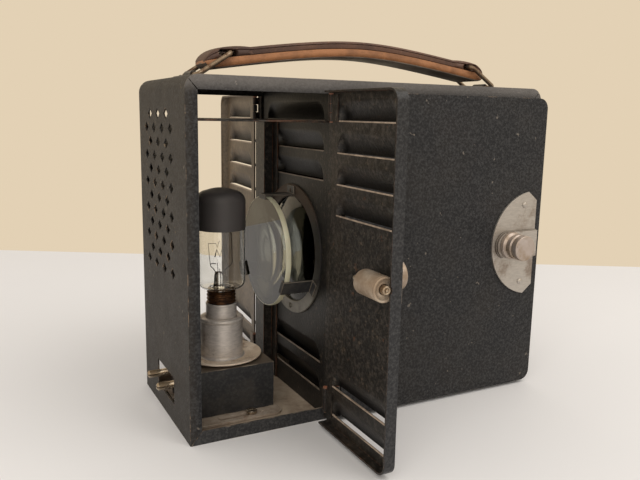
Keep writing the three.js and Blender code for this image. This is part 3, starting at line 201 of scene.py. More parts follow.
class Finish:
    """A material, and the calls that wire it."""

    def __init__(self, name, **fixed):
        self.material = bpy.data.materials.new(name)
        self.material.use_nodes = True
        self.tree = self.material.node_tree
        self.tree.nodes.clear()
        self.surface = self.tree.nodes.new("ShaderNodeBsdfPrincipled")
        end = self.tree.nodes.new("ShaderNodeOutputMaterial")
        self.tree.links.new(self.surface.outputs[0], end.inputs[0])
        self.places = {}
        for socket, value in fixed.items():
            self.surface.inputs[socket.replace("_", " ")].default_value = value

    def node(self, kind, settings=None, sockets=None, output=0):
        node = self.tree.nodes.new(kind)
        for key, value in (settings or {}).items():
            setattr(node, key, value)
        for key, value in (sockets or {}).items():
            self.feed(node.inputs[key], value)
        return Wire(self, node.outputs[output])

    def feed(self, socket, value):
        if isinstance(value, Wire):
            self.tree.links.new(value.socket, socket)
        elif hasattr(value, "__len__") and len(value) == 3 and len(socket.default_value) == 4:
            socket.default_value = rgba(value)
        else:
            socket.default_value = value

    def place(self, stretch=(1, 1, 1), shift=(0, 0, 0)):
        """Object coordinates, stretched and shifted."""
        key = (stretch, shift)
        if key not in self.places:
            where = self.node("ShaderNodeTexCoord", output=3)
            self.places[key] = self.node(
                "ShaderNodeMapping", None, {"Vector": where, "Location": shift, "Scale": stretch})
        return self.places[key]

    def axis(self, index):
        return self.node("ShaderNodeSeparateXYZ", None, {0: self.node("ShaderNodeTexCoord", output=3)}, index)

    def noise(self, scale, detail=3.0, roughness=0.55, stretch=(1, 1, 1), shift=(0, 0, 0)):
        return self.node(
            "ShaderNodeTexNoise", None,
            {"Vector": self.place(stretch, shift), "Scale": scale, "Detail": detail, "Roughness": roughness})

    def cells(self, scale):
        return self.node("ShaderNodeTexVoronoi", {"feature": "SMOOTH_F1"}, {"Vector": self.place(), "Scale": scale})

    def drawn(self, name):
        return self.node("ShaderNodeAttribute", {"attribute_name": name}, output=2)

    def bump(self, height, depth, strength=1.0):
        normal = self.node("ShaderNodeBump", None, {"Height": height, "Distance": depth, "Strength": strength})
        self.feed(self.surface.inputs["Normal"], normal)

    def give(self, **values):
        for key, value in values.items():
            self.feed(self.surface.inputs[key.replace("_", " ")], value)
        return self.material


finishes = {}


def finish(name):
    """The material of this name, made on its first use."""
    if name not in finishes:
        maker, *values = MAKERS[name]
        finishes[name] = maker(name, *values)
    return finishes[name]


# Where the case's paint changes, metres: towards the lamp's end wall, over the lips, which carry a painted sheen, and
# on the top, which carries dust
WARM_END, LIP_SIDE, LIP_RISE, TOP = (-0.119, -0.1255), (0.0503, 0.0513), (0.199, 0.2088), (0.2094, 0.2099)
# Where the floor pan's outside begins: its side, and its underside
PAN_SIDE, PAN_UNDER = (0.0512, 0.0516), (0.0006, 0.0003)
# Heights on the mounting ring, between which its painted reflection of the floor fades and its brown grows
RING_FLOOR_REFLECTION, RING_BROWN = (0.09, 0.07), (0.118, 0.138)


def crinkle_paint(name, warm_end):
    """Black crinkle paint: fine wrinkles, dust in their hollows, faded and chipped at the edges."""
    c = colours()
    f = Finish(name, Metallic=0.0, Specular_IOR_Level=0.25)
    wrinkle = f.cells(820) * 0.6 + f.noise(1500, 2, 0.6) * 0.6
    blotch = f.noise(22, 4, 0.6).ramp(0.4, 0.72)
    fade = blotch * 0.35
    if warm_end:
        fade = fade + f.axis(0).ramp(*WARM_END) * 0.75
    body = fade.mix(c.crinkle, c.crinkle_warm)
    mottle = f.noise(640, 3, 0.65).ramp(0.38, 0.7) * 0.62
    body = mottle.mix(body, srgb(68, 67, 66))
    chips = f.drawn("wear") * f.noise(90, 4, 0.7, shift=(3, 1, 2)).ramp(0.5, 0.62)
    specks = f.noise(260, 2, 0.5, shift=(5, 0, 0)).ramp(0.72, 0.77) * 0.6
    body = specks.mix(body, srgb(128, 118, 106))
    body = chips.mix(body, srgb(134, 112, 90))
    if warm_end:
        scars = f.axis(0).ramp(*WARM_END) * f.noise(150, 4, 0.7, shift=(8, 2, 1)).ramp(0.66, 0.72)
        body = scars.mix(body, srgb(112, 96, 76))
        # A painted sheen along the rounded top lips, and dust settled on the top
        lip = f.axis(1).size().ramp(*LIP_SIDE) * f.axis(2).ramp(*LIP_RISE) * 0.58
        top_dust_and_lip_sheen = (f.axis(2).ramp(*TOP) * 0.34).most(lip) * (0.45 + f.noise(30, 4, 0.6, shift=(4, 4, 4)) * 0.5)
        body = top_dust_and_lip_sheen.mix(body, srgb(150, 142, 134))
    f.bump(wrinkle, 0.00042, 0.8)
    return f.give(Base_Color=body, Roughness=0.5 + f.noise(60, 3) * 0.22 - chips * 0.1)


def inner_paint(name, paint, dusty, darkening):
    """Smooth dark paint inside the lamp house, browned by heat, with rust at its bare edges."""
    c = colours()
    f = Finish(name, Metallic=0.0, Specular_IOR_Level=0.35)
    heat = f.noise(14, 5, 0.62).ramp(0.35, 0.7)
    streak = f.noise(30, 4, 0.6, stretch=(1, 1, 0.25), shift=(2, 4, 0)).ramp(0.5, 0.75)
    body = (heat * (1 - dusty)).mix(tone(paint), srgb(25, 24, 24))
    mottle = f.noise(420, 3, 0.7, shift=(2, 2, 5)).ramp(0.42, 0.66) * (0.56 * (1 - darkening))
    body = mottle.mix(body, srgb(74, 68, 61))
    body = (streak * (0.18 + dusty * 0.5) * (1 - darkening)).mix(body, srgb(98, 80, 62))
    dust = f.noise(300, 3, 0.65, shift=(6, 1, 1)).ramp(0.6, 0.7) * ((0.3 + dusty) * (1 - darkening * 0.5))
    body = dust.mix(body, srgb(122, 104, 84))
    edge = f.drawn("wear") * f.noise(70, 4, 0.7).ramp(0.38, 0.56)
    spots = f.noise(160, 4, 0.7, shift=(1, 7, 3)).ramp(0.66, 0.74) * 0.6
    rust = edge.most(spots)
    body = rust.mix(body, c.rust)
    bare = f.drawn("bare") * (0.55 + f.noise(110, 4, 0.7, shift=(9, 1, 4)).ramp(0.36, 0.6) * 0.45) * (1 - darkening * 0.7)
    body = bare.mix(body, srgb(168, 148, 128))
    # Painted shade deep inside the louver hoods, darkest where they stand out furthest
    body = (f.drawn("pit").ramp(0.15, 0.85) * 0.86).mix(body, srgb(10, 9, 9))
    outside = f.drawn("outside")
    grit = f.noise(640, 3, 0.65).ramp(0.38, 0.7) * 0.62
    body = outside.mix(body, grit.mix(c.crinkle, srgb(68, 67, 66)))
    wrinkle = outside * f.cells(820)
    f.bump(f.noise(700, 3, 0.6) + rust * 0.6 + wrinkle, 0.00022, 0.7)
    return f.give(Base_Color=body, Roughness=0.4 + heat * 0.12 + rust * 0.25)


def floor_paint(name):
    """Dusty beige floor: the outside of the same tray is black crinkle paint."""
    c = colours()
    f = Finish(name)
    height = f.axis(2)
    side = f.axis(1).size()
    outside = side.ramp(*PAN_SIDE).most(height.ramp(*PAN_UNDER))
    dust = f.noise(40, 5, 0.65).ramp(0.35, 0.65)
    stain = f.noise(24, 5, 0.7, shift=(3, 3, 0)).ramp(0.48, 0.66)
    inside = dust.mix(c.floor, srgb(150, 132, 112))
    inside = (stain * 0.6).mix(inside, srgb(96, 74, 56))
    mottle = f.noise(620, 3, 0.65).ramp(0.4, 0.68) * 0.62
    paint = mottle.mix(c.crinkle, srgb(74, 72, 70))
    chips = f.drawn("wear") * f.noise(80, 4, 0.7).ramp(0.42, 0.6)
    paint = chips.mix(paint, srgb(134, 118, 100))
    f.bump(f.noise(1100, 3, 0.6), 0.0002, 0.5)
    return f.give(Base_Color=outside.mix(inside, paint), Roughness=0.62 + dust * 0.15)


def aluminium(name, metallic, bright):
    """Spun and pressed aluminium gone dull, with brown stains, and painted shade on the walls of the slide housing."""
    f = Finish(name, Metallic=metallic)
    brushed = f.noise(220, 4, 0.6, stretch=(1, 1, 6))
    stain = f.noise(46, 5, 0.7, shift=(1, 2, 5)).ramp(0.48, 0.7)
    spots = f.noise(300, 3, 0.6).ramp(0.66, 0.74) * 0.45
    body = (brushed.ramp(0.3, 0.7) * 0.32).mix(tone(bright), srgb(138, 132, 126))
    body = (stain * 0.55).most(spots).mix(body, tone("stain"))
    # Painted shade on the walls of the latch plates' slide housing
    body = (f.drawn("darkening") * 0.75).mix(body, srgb(78, 66, 56))
    f.bump(brushed, 0.00006, 0.4)
    return f.give(Base_Color=body, Roughness=0.4 + stain * 0.25 + brushed * 0.08)


def dusty_plate(name, light, dark):
    """The socket's flange and the carriage foot: plated steel under beige dust and rust."""
    f = Finish(name, Metallic=0.1)
    dust = f.noise(60, 5, 0.65).ramp(0.36, 0.66)
    rust = f.noise(80, 5, 0.72, shift=(4, 0, 2)).ramp(0.52, 0.68)
    body = dust.mix(srgb(*light), srgb(*dark))
    body = (rust * 0.6).mix(body, srgb(122, 88, 62))
    edge = f.drawn("wear") * f.noise(120, 3, 0.6).ramp(0.4, 0.6)
    body = edge.mix(body, srgb(178, 168, 150))
    f.bump(f.noise(900, 4, 0.65) + rust * 0.5, 0.00015, 0.6)
    return f.give(Base_Color=body, Roughness=0.55 + dust * 0.2)


def nickel(name, metallic, tarnish, plating):
    """Nickel plate with yellowed patches and fine scratches, dulled and browned by tarnish."""
    f = Finish(name, Metallic=metallic)
    patch = f.noise(90, 4, 0.62).ramp(0.4, 0.68)
    scratch = f.noise(500, 3, 0.6, stretch=(1, 1, 0.15)).ramp(0.55, 0.75)
    body = patch.mix(tone(plating), srgb(154, 136, 116))
    if tarnish:
        cloud = f.noise(70, 4, 0.6, shift=(7, 3, 1)).ramp(0.3, 0.62) * tarnish
        body = cloud.mix(body, srgb(146, 124, 102))
    body = (f.drawn("wear") * 0.4).mix(body, srgb(204, 196, 182))
    pits = f.noise(420, 3, 0.6, shift=(2, 2, 2)).ramp(0.68, 0.74) * 0.7
    body = pits.mix(body, srgb(84, 62, 44))
    f.bump(scratch - pits, 0.00005, 0.4)
    return f.give(Base_Color=body, Roughness=0.26 + tarnish * 0.2 + patch * 0.16 + scratch * 0.1)


def smooth_black(name, bare, topped=None):
    """Smooth black stove paint with dust on it, edges more or less bare, and dust on top of one node."""
    f = Finish(name, Metallic=0.05, Specular_IOR_Level=0.4)
    dust = f.noise(50, 5, 0.65).ramp(0.44, 0.72)
    body = (dust * 0.35).mix(srgb(38, 38, 39), srgb(92, 84, 74))
    grain = f.noise(480, 3, 0.7, shift=(4, 1, 6)).ramp(0.42, 0.66) * 0.4
    body = grain.mix(body, srgb(74, 72, 69))
    if topped:
        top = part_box(topped)[1].z
        settled_dust = f.axis(2).ramp(top - 0.0004, top) * (0.5 + dust * 0.4)
        body = settled_dust.mix(body, srgb(126, 110, 92))
    edge = f.drawn("wear") * (f.noise(100, 4, 0.6).ramp(0.42, 0.58) + bare).least(1.0)
    body = edge.mix(body, srgb(132, 120, 104))
    f.bump(f.noise(800, 3, 0.6), 0.0001, 0.4)
    return f.give(Base_Color=body, Roughness=0.45 + dust * 0.25)


def ring_steel(name):
    """The condenser's mounting ring: dull dark steel with a painted reflection of the light floor on its lower part,
    browned where the lamp's heat rises.
    """
    f = Finish(name, Metallic=0.35)
    tone = f.noise(60, 4, 0.6).ramp(0.35, 0.68)
    body = tone.mix(srgb(46, 43, 41), srgb(34, 32, 31))
    # Painted reflection of the light floor on the lower part of the ring
    floor_reflection = f.axis(2).ramp(*RING_FLOOR_REFLECTION)
    body = (floor_reflection * (0.65 + tone * 0.35)).mix(body, srgb(128, 123, 112))
    brown = (f.axis(2).ramp(*RING_BROWN) + f.noise(90, 4, 0.65, shift=(1, 3, 2)).ramp(0.55, 0.72) * 0.4).least(1.0)
    body = (brown * 0.8).mix(body, srgb(78, 62, 48))
    edge = f.drawn("wear") * f.noise(100, 4, 0.6).ramp(0.4, 0.56)
    f.bump(f.noise(700, 3, 0.6), 0.0001, 0.4)
    return f.give(Base_Color=edge.mix(body, srgb(168, 160, 146)), Roughness=0.42 + brown * 0.2)


def lamp_glass(name):
    """Clear bulb glass."""
    f = Finish(name, Metallic=0.0, Roughness=0.02, IOR=1.47, Transmission_Weight=1.0)
    film = f.noise(60, 3, 0.5).ramp(0.5, 0.8)
    return f.give(Base_Color=(film * 0.4).mix(srgb(250, 250, 248), srgb(232, 232, 226)))


def condenser_glass(name, tint):
    """Thick condenser glass with a faint yellow-green tint and a film of dust."""
    f = Finish(name, Metallic=0.0, IOR=1.5, Specular_IOR_Level=0.3, Transmission_Weight=1.0)
    film = f.noise(40, 4, 0.6).ramp(0.5, 0.85)
    return f.give(Base_Color=(film * 0.3).mix(tone(tint), srgb(196, 194, 178)), Roughness=0.01 + film * 0.04)


def ground_rim(name):
    """The lenses' ground edge: frosted, yellow-green, brighter where the light runs through it."""
    f = Finish(name, Metallic=0.0, IOR=1.5, Transmission_Weight=0.35)
    band = f.noise(50, 3, 0.6).ramp(0.35, 0.7)
    chips = f.noise(300, 3, 0.6, shift=(2, 5, 1)).ramp(0.66, 0.74) * 0.5
    body = (band * 0.5).mix(tone("lens_rim"), srgb(204, 192, 154))
    f.bump(f.noise(900, 3, 0.6), 0.00006, 0.4)
    return f.give(Base_Color=chips.mix(body, srgb(226, 222, 200)), Roughness=0.34 + band * 0.16)


def lamp_coating(name):
    """Matt black lacquer on the lamp's crown."""
    f = Finish(name)
    haze = f.noise(70, 5, 0.65).ramp(0.4, 0.7)
    specks = f.noise(500, 2, 0.5).ramp(0.7, 0.78) * 0.4
    body = (haze * 0.5).mix(tone("bulb_black"), srgb(82, 74, 72))
    f.bump(f.noise(900, 3, 0.6), 0.0001, 0.4)
    return f.give(Base_Color=specks.mix(body, srgb(104, 98, 94)), Roughness=0.5 + haze * 0.15)


def saddle_leather(name):
    """Layered leather: dark skin above and below, a lighter core, grain, creases and worn edges."""
    c = colours()
    f = Finish(name)
    layer = f.drawn("layer")
    grain = f.cells(900)
    crease = f.noise(120, 4, 0.6, stretch=(3, 0.6, 1)).ramp(0.5, 0.7)
    age = f.noise(18, 4, 0.6).ramp(0.36, 0.68)
    skin = age.mix(c.leather, srgb(66, 43, 32))
    skin = f.noise(240, 4, 0.7, shift=(1, 8, 2)).ramp(0.58, 0.74).mix(skin, srgb(124, 88, 64))
    skin = (crease * 0.35).mix(skin, srgb(62, 42, 32))
    core = f.noise(80, 4, 0.6).ramp(0.35, 0.7).mix(c.leather_core, srgb(138, 92, 58))
    under = age.mix(srgb(122, 112, 100), srgb(70, 54, 43))
    body = layer.ramp(0.4, 0.6).mix(skin, core)
    body = layer.ramp(1.4, 1.6).mix(body, under)
    f.bump(grain * 0.7 - crease * 0.5, 0.00028, 0.6)
    return f.give(Base_Color=body, Roughness=0.46 + age * 0.18)


def two_tone(name, metallic, blend, first, second, roughness, change, bump):
    """Two tones that blend by noise, with a roughness that follows them: cap, wires, insulator and thread."""
    f = Finish(name, Metallic=metallic)
    scale, detail, rough, low, high = blend
    mask = f.noise(scale, detail, rough).ramp(low, high)
    if bump:
        *grain, depth, strength = bump
        f.bump(f.noise(*grain) if grain else mask, depth, strength)
    return f.give(Base_Color=mask.mix(tone(first), tone(second)), Roughness=roughness + mask * change)


def table_top(name):
    """Plain pale table."""
    f = Finish(name, Specular_IOR_Level=0.15)
    f.bump(f.noise(60, 2, 0.5), 0.0002, 0.1)
    body = (f.noise(3, 3, 0.5) * 0.15).mix(tone("table"), srgb(190, 190, 192))
    return f.give(Base_Color=body, Roughness=0.55 + f.noise(9) * 0.1)


# Each finish: what makes it, and with which values
MAKERS = {
    "case_paint": (crinkle_paint, True),
    "door_paint": (crinkle_paint, False),
    "inner_paint": (inner_paint, "inner", 0.0, 0.0),
    # The partition: the inner paint made darker, with its mottle, streaks, dust and bare edges mostly taken away
    "partition_paint": (inner_paint, (17, 16, 15), 0.0, 0.75),
    # The far lamp door: the inner paint made lighter and browner, with more streaks and dust
    "far_door_paint": (inner_paint, "far_door", 0.5, 0.0),
    "floor_paint": (floor_paint,),
    "aluminium": (aluminium, 0.72, "aluminium"),
    "dull_aluminium": (aluminium, 0.45, (222, 213, 204)),
    "dusty_disc": (dusty_plate, (232, 214, 192), (206, 184, 158)),
    "dusty_foot": (dusty_plate, (176, 160, 142), (138, 120, 102)),
    "nickel": (nickel, 0.95, 0.0, "nickel"),
    "knob_metal": (nickel, 0.6, 0.35, (186, 174, 166)),
    "barrel_metal": (nickel, 0.5, 0.8, (196, 180, 160)),
    "smooth_black": (smooth_black, 0.0),
    "box_black": (smooth_black, 0.0, "carriage_box"),
    "edge_worn_black": (smooth_black, 0.8),
    "ring_steel": (ring_steel,),
    "cap_brass": (
        two_tone, 0.7, (150, 5, 0.7, 0.38, 0.64), (104, 70, 42), (48, 32, 24), 0.42, 0.25, (900, 3, 0.6, 0.0001, 0.5)),
    "wire_metal": (
        two_tone, 0.85, (160, 4, 0.65, 0.42, 0.62), (142, 126, 108), (92, 64, 46), 0.35, 0.25,
        (700, 3, 0.6, 0.00008, 0.5)),
    "rusty_pin": (
        two_tone, 0.15, (160, 4, 0.65, 0.22, 0.62), (142, 126, 108), (128, 72, 46), 0.35, 0.25,
        (700, 3, 0.6, 0.00008, 0.5)),
    "filament_wire": (two_tone, 0.9, (200, 2, 0.5, 0.3, 0.7), (92, 84, 76), (46, 41, 38), 0.35, 0.1, None),
    "bakelite": (
        two_tone, 0.0, (60, 5, 0.6, 0.4, 0.65), (46, 34, 28), (32, 25, 22), 0.32, 0.15, (600, 2, 0.5, 0.00005, 0.3)),
    "thread": (two_tone, 0.0, (900, 2, 0.5, 0.35, 0.65), "thread", (72, 52, 40), 0.7, -0.1, (0.0001, 0.5)),
    "lamp_glass": (lamp_glass,),
    "condenser_glass": (condenser_glass, "lens_tint"),
    # The rear lens's glass, tinted darker as painted shade where it looks into the dark slide chamber
    "shaded_glass": (condenser_glass, (112, 116, 112)),
    "ground_rim": (ground_rim,),
    "lamp_coating": (lamp_coating,),
    "saddle_leather": (saddle_leather,),
    "table_top": (table_top,),
}


# ---- Mesh helpers


def body_of(node):
    return frame["nodes"][node]["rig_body"]


def add_piece(name, mesh, body, material, replaced=()):
    """A finished mesh as a piece of the object."""
    piece = bpy.data.objects.new(name, mesh)
    bpy.context.scene.collection.objects.link(piece)
    mesh.materials.clear()
    mesh.materials.append(finish(material))
    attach(piece, body)
    if replaced:
        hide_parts(*replaced)
    return piece


def mesh_from(bm, name, sharp=50):
    mesh = bpy.data.meshes.new(name)
    bm.to_mesh(mesh)
    bm.free()
    mesh.polygons.foreach_set("use_smooth", [True] * len(mesh.polygons))
    mesh.set_sharp_from_angle(angle=math.radians(sharp))
    return mesh


def settled(piece):
    """The piece's modifiers taken into its mesh."""
    bpy.context.view_layer.update()
    done = bpy.data.meshes.new_from_object(piece.evaluated_get(bpy.context.evaluated_depsgraph_get()))
    piece.modifiers.clear()
    piece.data = done
    return piece


def cut_out(piece, mesh):
    """Takes a mesh's shape out of the piece."""
    cutter = bpy.data.objects.new("cutter", mesh)
    bpy.context.scene.collection.objects.link(cutter)
    cut = piece.modifiers.new("cut", "BOOLEAN")
    cut.object = cutter
    cut.solver = "EXACT"
    settled(piece)
    bpy.data.objects.remove(cutter)


def shade_evenly(piece):
    """Flat faces shade flat, whatever the bevels beside them do."""
    piece.modifiers.new("even shading", "WEIGHTED_NORMAL").keep_sharp = True
    return settled(piece)


BOX_FACES = [(0, 1, 3, 2), (4, 6, 7, 5), (0, 4, 5, 1), (2, 3, 7, 6), (0, 2, 6, 4), (1, 5, 7, 3)]
WELD = 2e-6  # vertices that the solids give twice
BEVEL_ANGLE = 28  # degrees between faces, from which an edge is rounded


def softened(node, material, round_by=None, weld=None, spared=None):
    """A copy of a CAD piece with rounded edges, whose bevels carry the wear attribute.

    Edges shorter than weld are closed up first, and edges that end at a spared vertex stay sharp.
    """
    width = round_by or sizes().edge_round
    bm = bmesh.new()
    bm.from_mesh(frame["nodes"][node].data)
    bmesh.ops.remove_doubles(bm, verts=bm.verts, dist=WELD)
    bmesh.ops.dissolve_limit(bm, angle_limit=math.radians(1.0), verts=bm.verts, edges=bm.edges)
    if weld:
        bmesh.ops.remove_doubles(bm, verts=bm.verts, dist=weld)
    wear = bm.faces.layers.float.new("wear")
    edges = [e for e in bm.edges if e.is_manifold and e.calc_face_angle(0) > math.radians(BEVEL_ANGLE)]
    if spared:
        edges = [e for e in edges if not any(spared(v.co) for v in e.verts)]
    made = bmesh.ops.bevel(
        bm, geom=edges, offset=width, offset_type="OFFSET", segments=2, profile=0.5, affect="EDGES",
        clamp_overlap=True)
    for face in made["faces"]:
        face[wear] = 1.0
    piece = add_piece(node + "_skin", mesh_from(bm, node + "_skin"), body_of(node), material, [node])
    return shade_evenly(piece)


def eased(points, radius, steps=3):
    """A profile with its corners rounded."""
    points = [Vector(p) for p in points]
    result = [points[0]]
    for before, corner, after in zip(points, points[1:], points[2:]):
        into, out = before - corner, after - corner
        start = corner + into.normalized() * min(radius, into.length / 2.1)
        end = corner + out.normalized() * min(radius, out.length / 2.1)
        for i in range(steps + 1):
            share = i / steps
            result.append(start.lerp(corner, share).lerp(corner.lerp(end, share), share))
    result.append(points[-1])
    return result


def turned(name, profile, base, axis, steps, sharp):
    """A mesh turned about the axis through base: the profile holds radius and height in metres."""
    axis = Vector(axis).normalized()
    side = axis.orthogonal().normalized()
    other = axis.cross(side)
    bm = bmesh.new()
    loop = (Vector(profile[0]) - Vector(profile[-1])).length < 1e-9
    points = profile[:-1] if loop else profile
    rings = []
    for radius, height in points:
        middle = base + axis * height
        if radius < 1e-7:
            rings.append([bm.verts.new(middle)])
            continue
        angles = [2 * math.pi * i / steps for i in range(steps)]
        rings.append([bm.verts.new(middle + (side * math.cos(a) + other * math.sin(a)) * radius) for a in angles])
    pairs = list(zip(rings, rings[1:])) + ([(rings[-1], rings[0])] if loop else [])
    for first, second in pairs:
        for i in range(steps):
            j = (i + 1) % steps
            corners = [first[i % len(first)], first[j % len(first)], second[j % len(second)], second[i % len(second)]]
            unique = list(dict.fromkeys(corners))
            if len(unique) > 2:
                bm.faces.new(unique)
    bmesh.ops.recalc_face_normals(bm, faces=bm.faces)
    return mesh_from(bm, name, sharp)


def add_turned(name, node, profile, base, axis, material, steps=72, sharp=50, replaces=True):
    """A turned piece that rides with a CAD node, and most often takes its place."""
    mesh = turned(name, profile, base, axis, steps, sharp)
    return add_piece(name, mesh, body_of(node), material, [node] if replaces else ())


def millimetres(profile):
    return [(r * MM, h * MM) for r, h in profile]


def arc(centre, radius, start, end, steps):
    """Points of an arc in a profile, angles in degrees from the radius axis."""
    angles = [math.radians(start + (end - start) * i / steps) for i in range(steps + 1)]
    return [(centre[0] + radius * math.cos(a), centre[1] + radius * math.sin(a)) for a in angles]


def mark(mesh, name, values, domain="FACE"):
    """A number for each face or vertex, which the finishes read by its name."""
    mesh.attributes.new(name, "FLOAT", domain).data.foreach_set("value", values)


def span(node, direction):
    """Lowest and highest reach of a node along a direction, from its vertices."""
    heights = [v.co.dot(direction) for v in frame["nodes"][node].data.vertices]
    return min(heights), max(heights)


def middle(node):
    low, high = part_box(node)
    return (low + high) / 2


def on_axis(node, axis):
    """The point where a straight axis through the node's middle crosses the plane through the origin."""
    centre = middle(node)
    return centre - axis * centre.dot(axis)


def door_ways(door):
    """The way out of a door's face, and the way from its hinges to its latch, as the door stands."""
    turn, hand = {"near_lamp_door": (90, -1), "far_lamp_door": (85, 1), "side_door": (0, 1)}[door]
    spin = Matrix.Rotation(math.radians(turn), 3, "Z")
    return spin @ -Y, spin @ (X * hand)


def wire_mesh(points, radius, sides=8, closed=False):
    """A round wire through points in millimetres, as vertices and faces in metres."""
    path = [Vector(p) * MM for p in points]
    count = len(path)
    verts, faces = [], []
    normal = None
    for i, point in enumerate(path):
        before = path[i - 1] if i or closed else None
        after = path[(i + 1) % count] if i + 1 < count or closed else None
        into = (point - before).normalized() if before is not None else None
        out = (after - point).normalized() if after is not None else None
        tangent = ((into or out) + (out or into)).normalized()
        if normal is None:
            normal = tangent.orthogonal().normalized()
        normal = (normal - tangent * normal.dot(tangent)).normalized()
        other = tangent.cross(normal)
        for j in range(sides):
            angle = 2 * math.pi * j / sides
            verts.append(point + (normal * math.cos(angle) + other * math.sin(angle)) * radius * MM)
    spans = count if closed else count - 1
    for i in range(spans):
        for j in range(sides):
            a, b = i * sides + j, i * sides + (j + 1) % sides
            c, d = ((i + 1) % count) * sides + j, ((i + 1) % count) * sides + (j + 1) % sides
            faces.append((a, b, d, c))
    if not closed:
        faces.append(tuple(range(sides))[::-1])
        faces.append(tuple((count - 1) * sides + j for j in range(sides)))
    return verts, faces


def joined(parts, name, shift=Vector()):
    verts, faces = [], []
    for part_verts, part_faces in parts:
        start = len(verts)
        verts += [v + shift for v in part_verts]
        faces += [tuple(start + i for i in face) for face in part_faces]
    bm = bmesh.new()
    mesh = bpy.data.meshes.new(name)
    mesh.from_pydata(verts, [], faces)
    bm.from_mesh(mesh)
    bmesh.ops.recalc_face_normals(bm, faces=bm.faces)
    bpy.data.meshes.remove(mesh)
    return mesh_from(bm, name)


# ---- Geometry Nodes trees for what repeats


class Tree:
    """A Geometry Nodes tree that is built link by link, with named inputs."""

    def __init__(self, name):
        self.group = bpy.data.node_groups.new(name, "GeometryNodeTree")
        self.group.interface.new_socket("Geometry", in_out="INPUT", socket_type="NodeSocketGeometry")
        self.group.interface.new_socket("Geometry", in_out="OUTPUT", socket_type="NodeSocketGeometry")
        self.start = self.group.nodes.new("NodeGroupInput")
        self.end = self.group.nodes.new("NodeGroupOutput")
        self.names = {}

    def inputs(self, **kinds):
        for name, kind in kinds.items():
            item = self.group.interface.new_socket(name, in_out="INPUT", socket_type="NodeSocket" + kind)
            self.names[name] = item.identifier
        return [self.start.outputs[name] for name in kinds]

    def node(self, kind, settings=None, sockets=None, output=0):
        node = self.group.nodes.new(kind)
        for key, value in (settings or {}).items():
            setattr(node, key, value)
        for key, value in (sockets or {}).items():
            if isinstance(value, bpy.types.NodeSocket):
                self.group.links.new(value, node.inputs[key])
            else:
                node.inputs[key].default_value = value
        return node.outputs[output]

    def place(self, points, instance, turn=None, size=None):
        sockets = {"Points": points, "Instance": instance}
        if turn:
            sockets.update({"Rotation": turn, "Scale": size})
        return self.node("GeometryNodeInstanceOnPoints", None, sockets)

    def turn_to(self, axis, way):
        return self.node("FunctionNodeAlignRotationToVector", {"axis": axis}, {"Vector": way})

    def close(self, instances, material):
        real = self.node("GeometryNodeRealizeInstances", None, {0: instances})
        painted = self.node("GeometryNodeSetMaterial", None, {"Geometry": real, "Material": material})
        self.group.links.new(painted, self.end.inputs[0])

    def grow(self, name, mesh, values):
        """The tree's result on this mesh, as a plain mesh."""
        carrier = bpy.data.objects.new(name, mesh)
        bpy.context.scene.collection.objects.link(carrier)
        modifier = carrier.modifiers.new("grown", "NODES")
        modifier.node_group = self.group
        for key, value in values.items():
            modifier[self.names[key]] = value
        bpy.context.view_layer.update()
        grown = bpy.data.meshes.new_from_object(carrier.evaluated_get(bpy.context.evaluated_depsgraph_get()))
        bpy.data.objects.remove(carrier)
        grown.name = name
        grown.polygons.foreach_set("use_smooth", [True] * len(grown.polygons))
        grown.set_sharp_from_angle(angle=math.radians(50))
        return grown


def rivet_tree():
    """Domed heads on points, each turned to its facing attribute."""
    tree = Tree("Rivet heads")
    radius, height, material = tree.inputs(Radius="Float", Height="Float", Material="Material")
    head = tree.node("GeometryNodeMeshUVSphere", None, {"Segments": 20, "Rings": 12, "Radius": 1.0})
    size = tree.node("ShaderNodeCombineXYZ", None, {0: radius, 1: radius, 2: height})
    facing = tree.node("GeometryNodeInputNamedAttribute", {"data_type": "FLOAT_VECTOR"}, {"Name": "facing"})
    points = tree.node("GeometryNodeMeshToPoints", None, {0: tree.start.outputs[0]})
    tree.close(tree.place(points, head, tree.turn_to("Z", facing), size), material)
    return tree


def stitch_tree():
    """Short bars of thread laid along a line at an even pitch."""
    tree = Tree("Stitches")
    pitch, length, radius, material = tree.inputs(Pitch="Float", Length="Float", Radius="Float", Material="Material")
    line = tree.node("GeometryNodeMeshToCurve", None, {0: tree.start.outputs[0]})
    points = tree.node("GeometryNodeResampleCurve", {"mode": "LENGTH"}, {"Curve": line, "Length": pitch})
    bead = tree.node("GeometryNodeMeshUVSphere", None, {"Segments": 8, "Rings": 6, "Radius": 1.0})
    half = tree.node("ShaderNodeMath", {"operation": "MULTIPLY"}, {0: length, 1: 0.5})
    size = tree.node("ShaderNodeCombineXYZ", None, {0: half, 1: radius, 2: radius})
    turn = tree.turn_to("X", tree.node("GeometryNodeInputTangent"))
    tree.close(tree.place(points, bead, turn, size), material)
    return tree


def knurl_tree():
    """Straight ridges around the X axis, on a circle about the origin."""
    tree = Tree("Knurls")
    count, circle, radius, length, centre, material = tree.inputs(
        Count="Int", Circle="Float", Radius="Float", Length="Float", Centre="Vector", Material="Material")
    ring = tree.node("GeometryNodeMeshCircle", None, {"Vertices": count, "Radius": circle})
    ridge = tree.node(
        "GeometryNodeMeshCylinder", None,
        {"Vertices": 8, "Side Segments": 1, "Fill Segments": 1, "Radius": radius, "Depth": length})
    laid_over = tree.node(
        "GeometryNodeTransform", None,
        {"Geometry": tree.place(ring, ridge), "Rotation": (0, math.pi / 2, 0), "Translation": centre})
    tree.close(laid_over, material)
    return tree


def add_rivets(name, places, node, material, radius, height):
    """Rivet heads at (point, facing) pairs, which ride with a CAD node."""
    mesh = bpy.data.meshes.new(name)
    mesh.from_pydata([p for p, _ in places], [], [])
    facing = mesh.attributes.new("facing", "FLOAT_VECTOR", "POINT")
    facing.data.foreach_set("vector", [c for _, n in places for c in n])
    grown = rivet_tree().grow(name, mesh, {"Radius": radius, "Height": height, "Material": finish(material)})
    return add_piece(name, grown, body_of(node), material)


# ---- Operators, one for each group of pieces


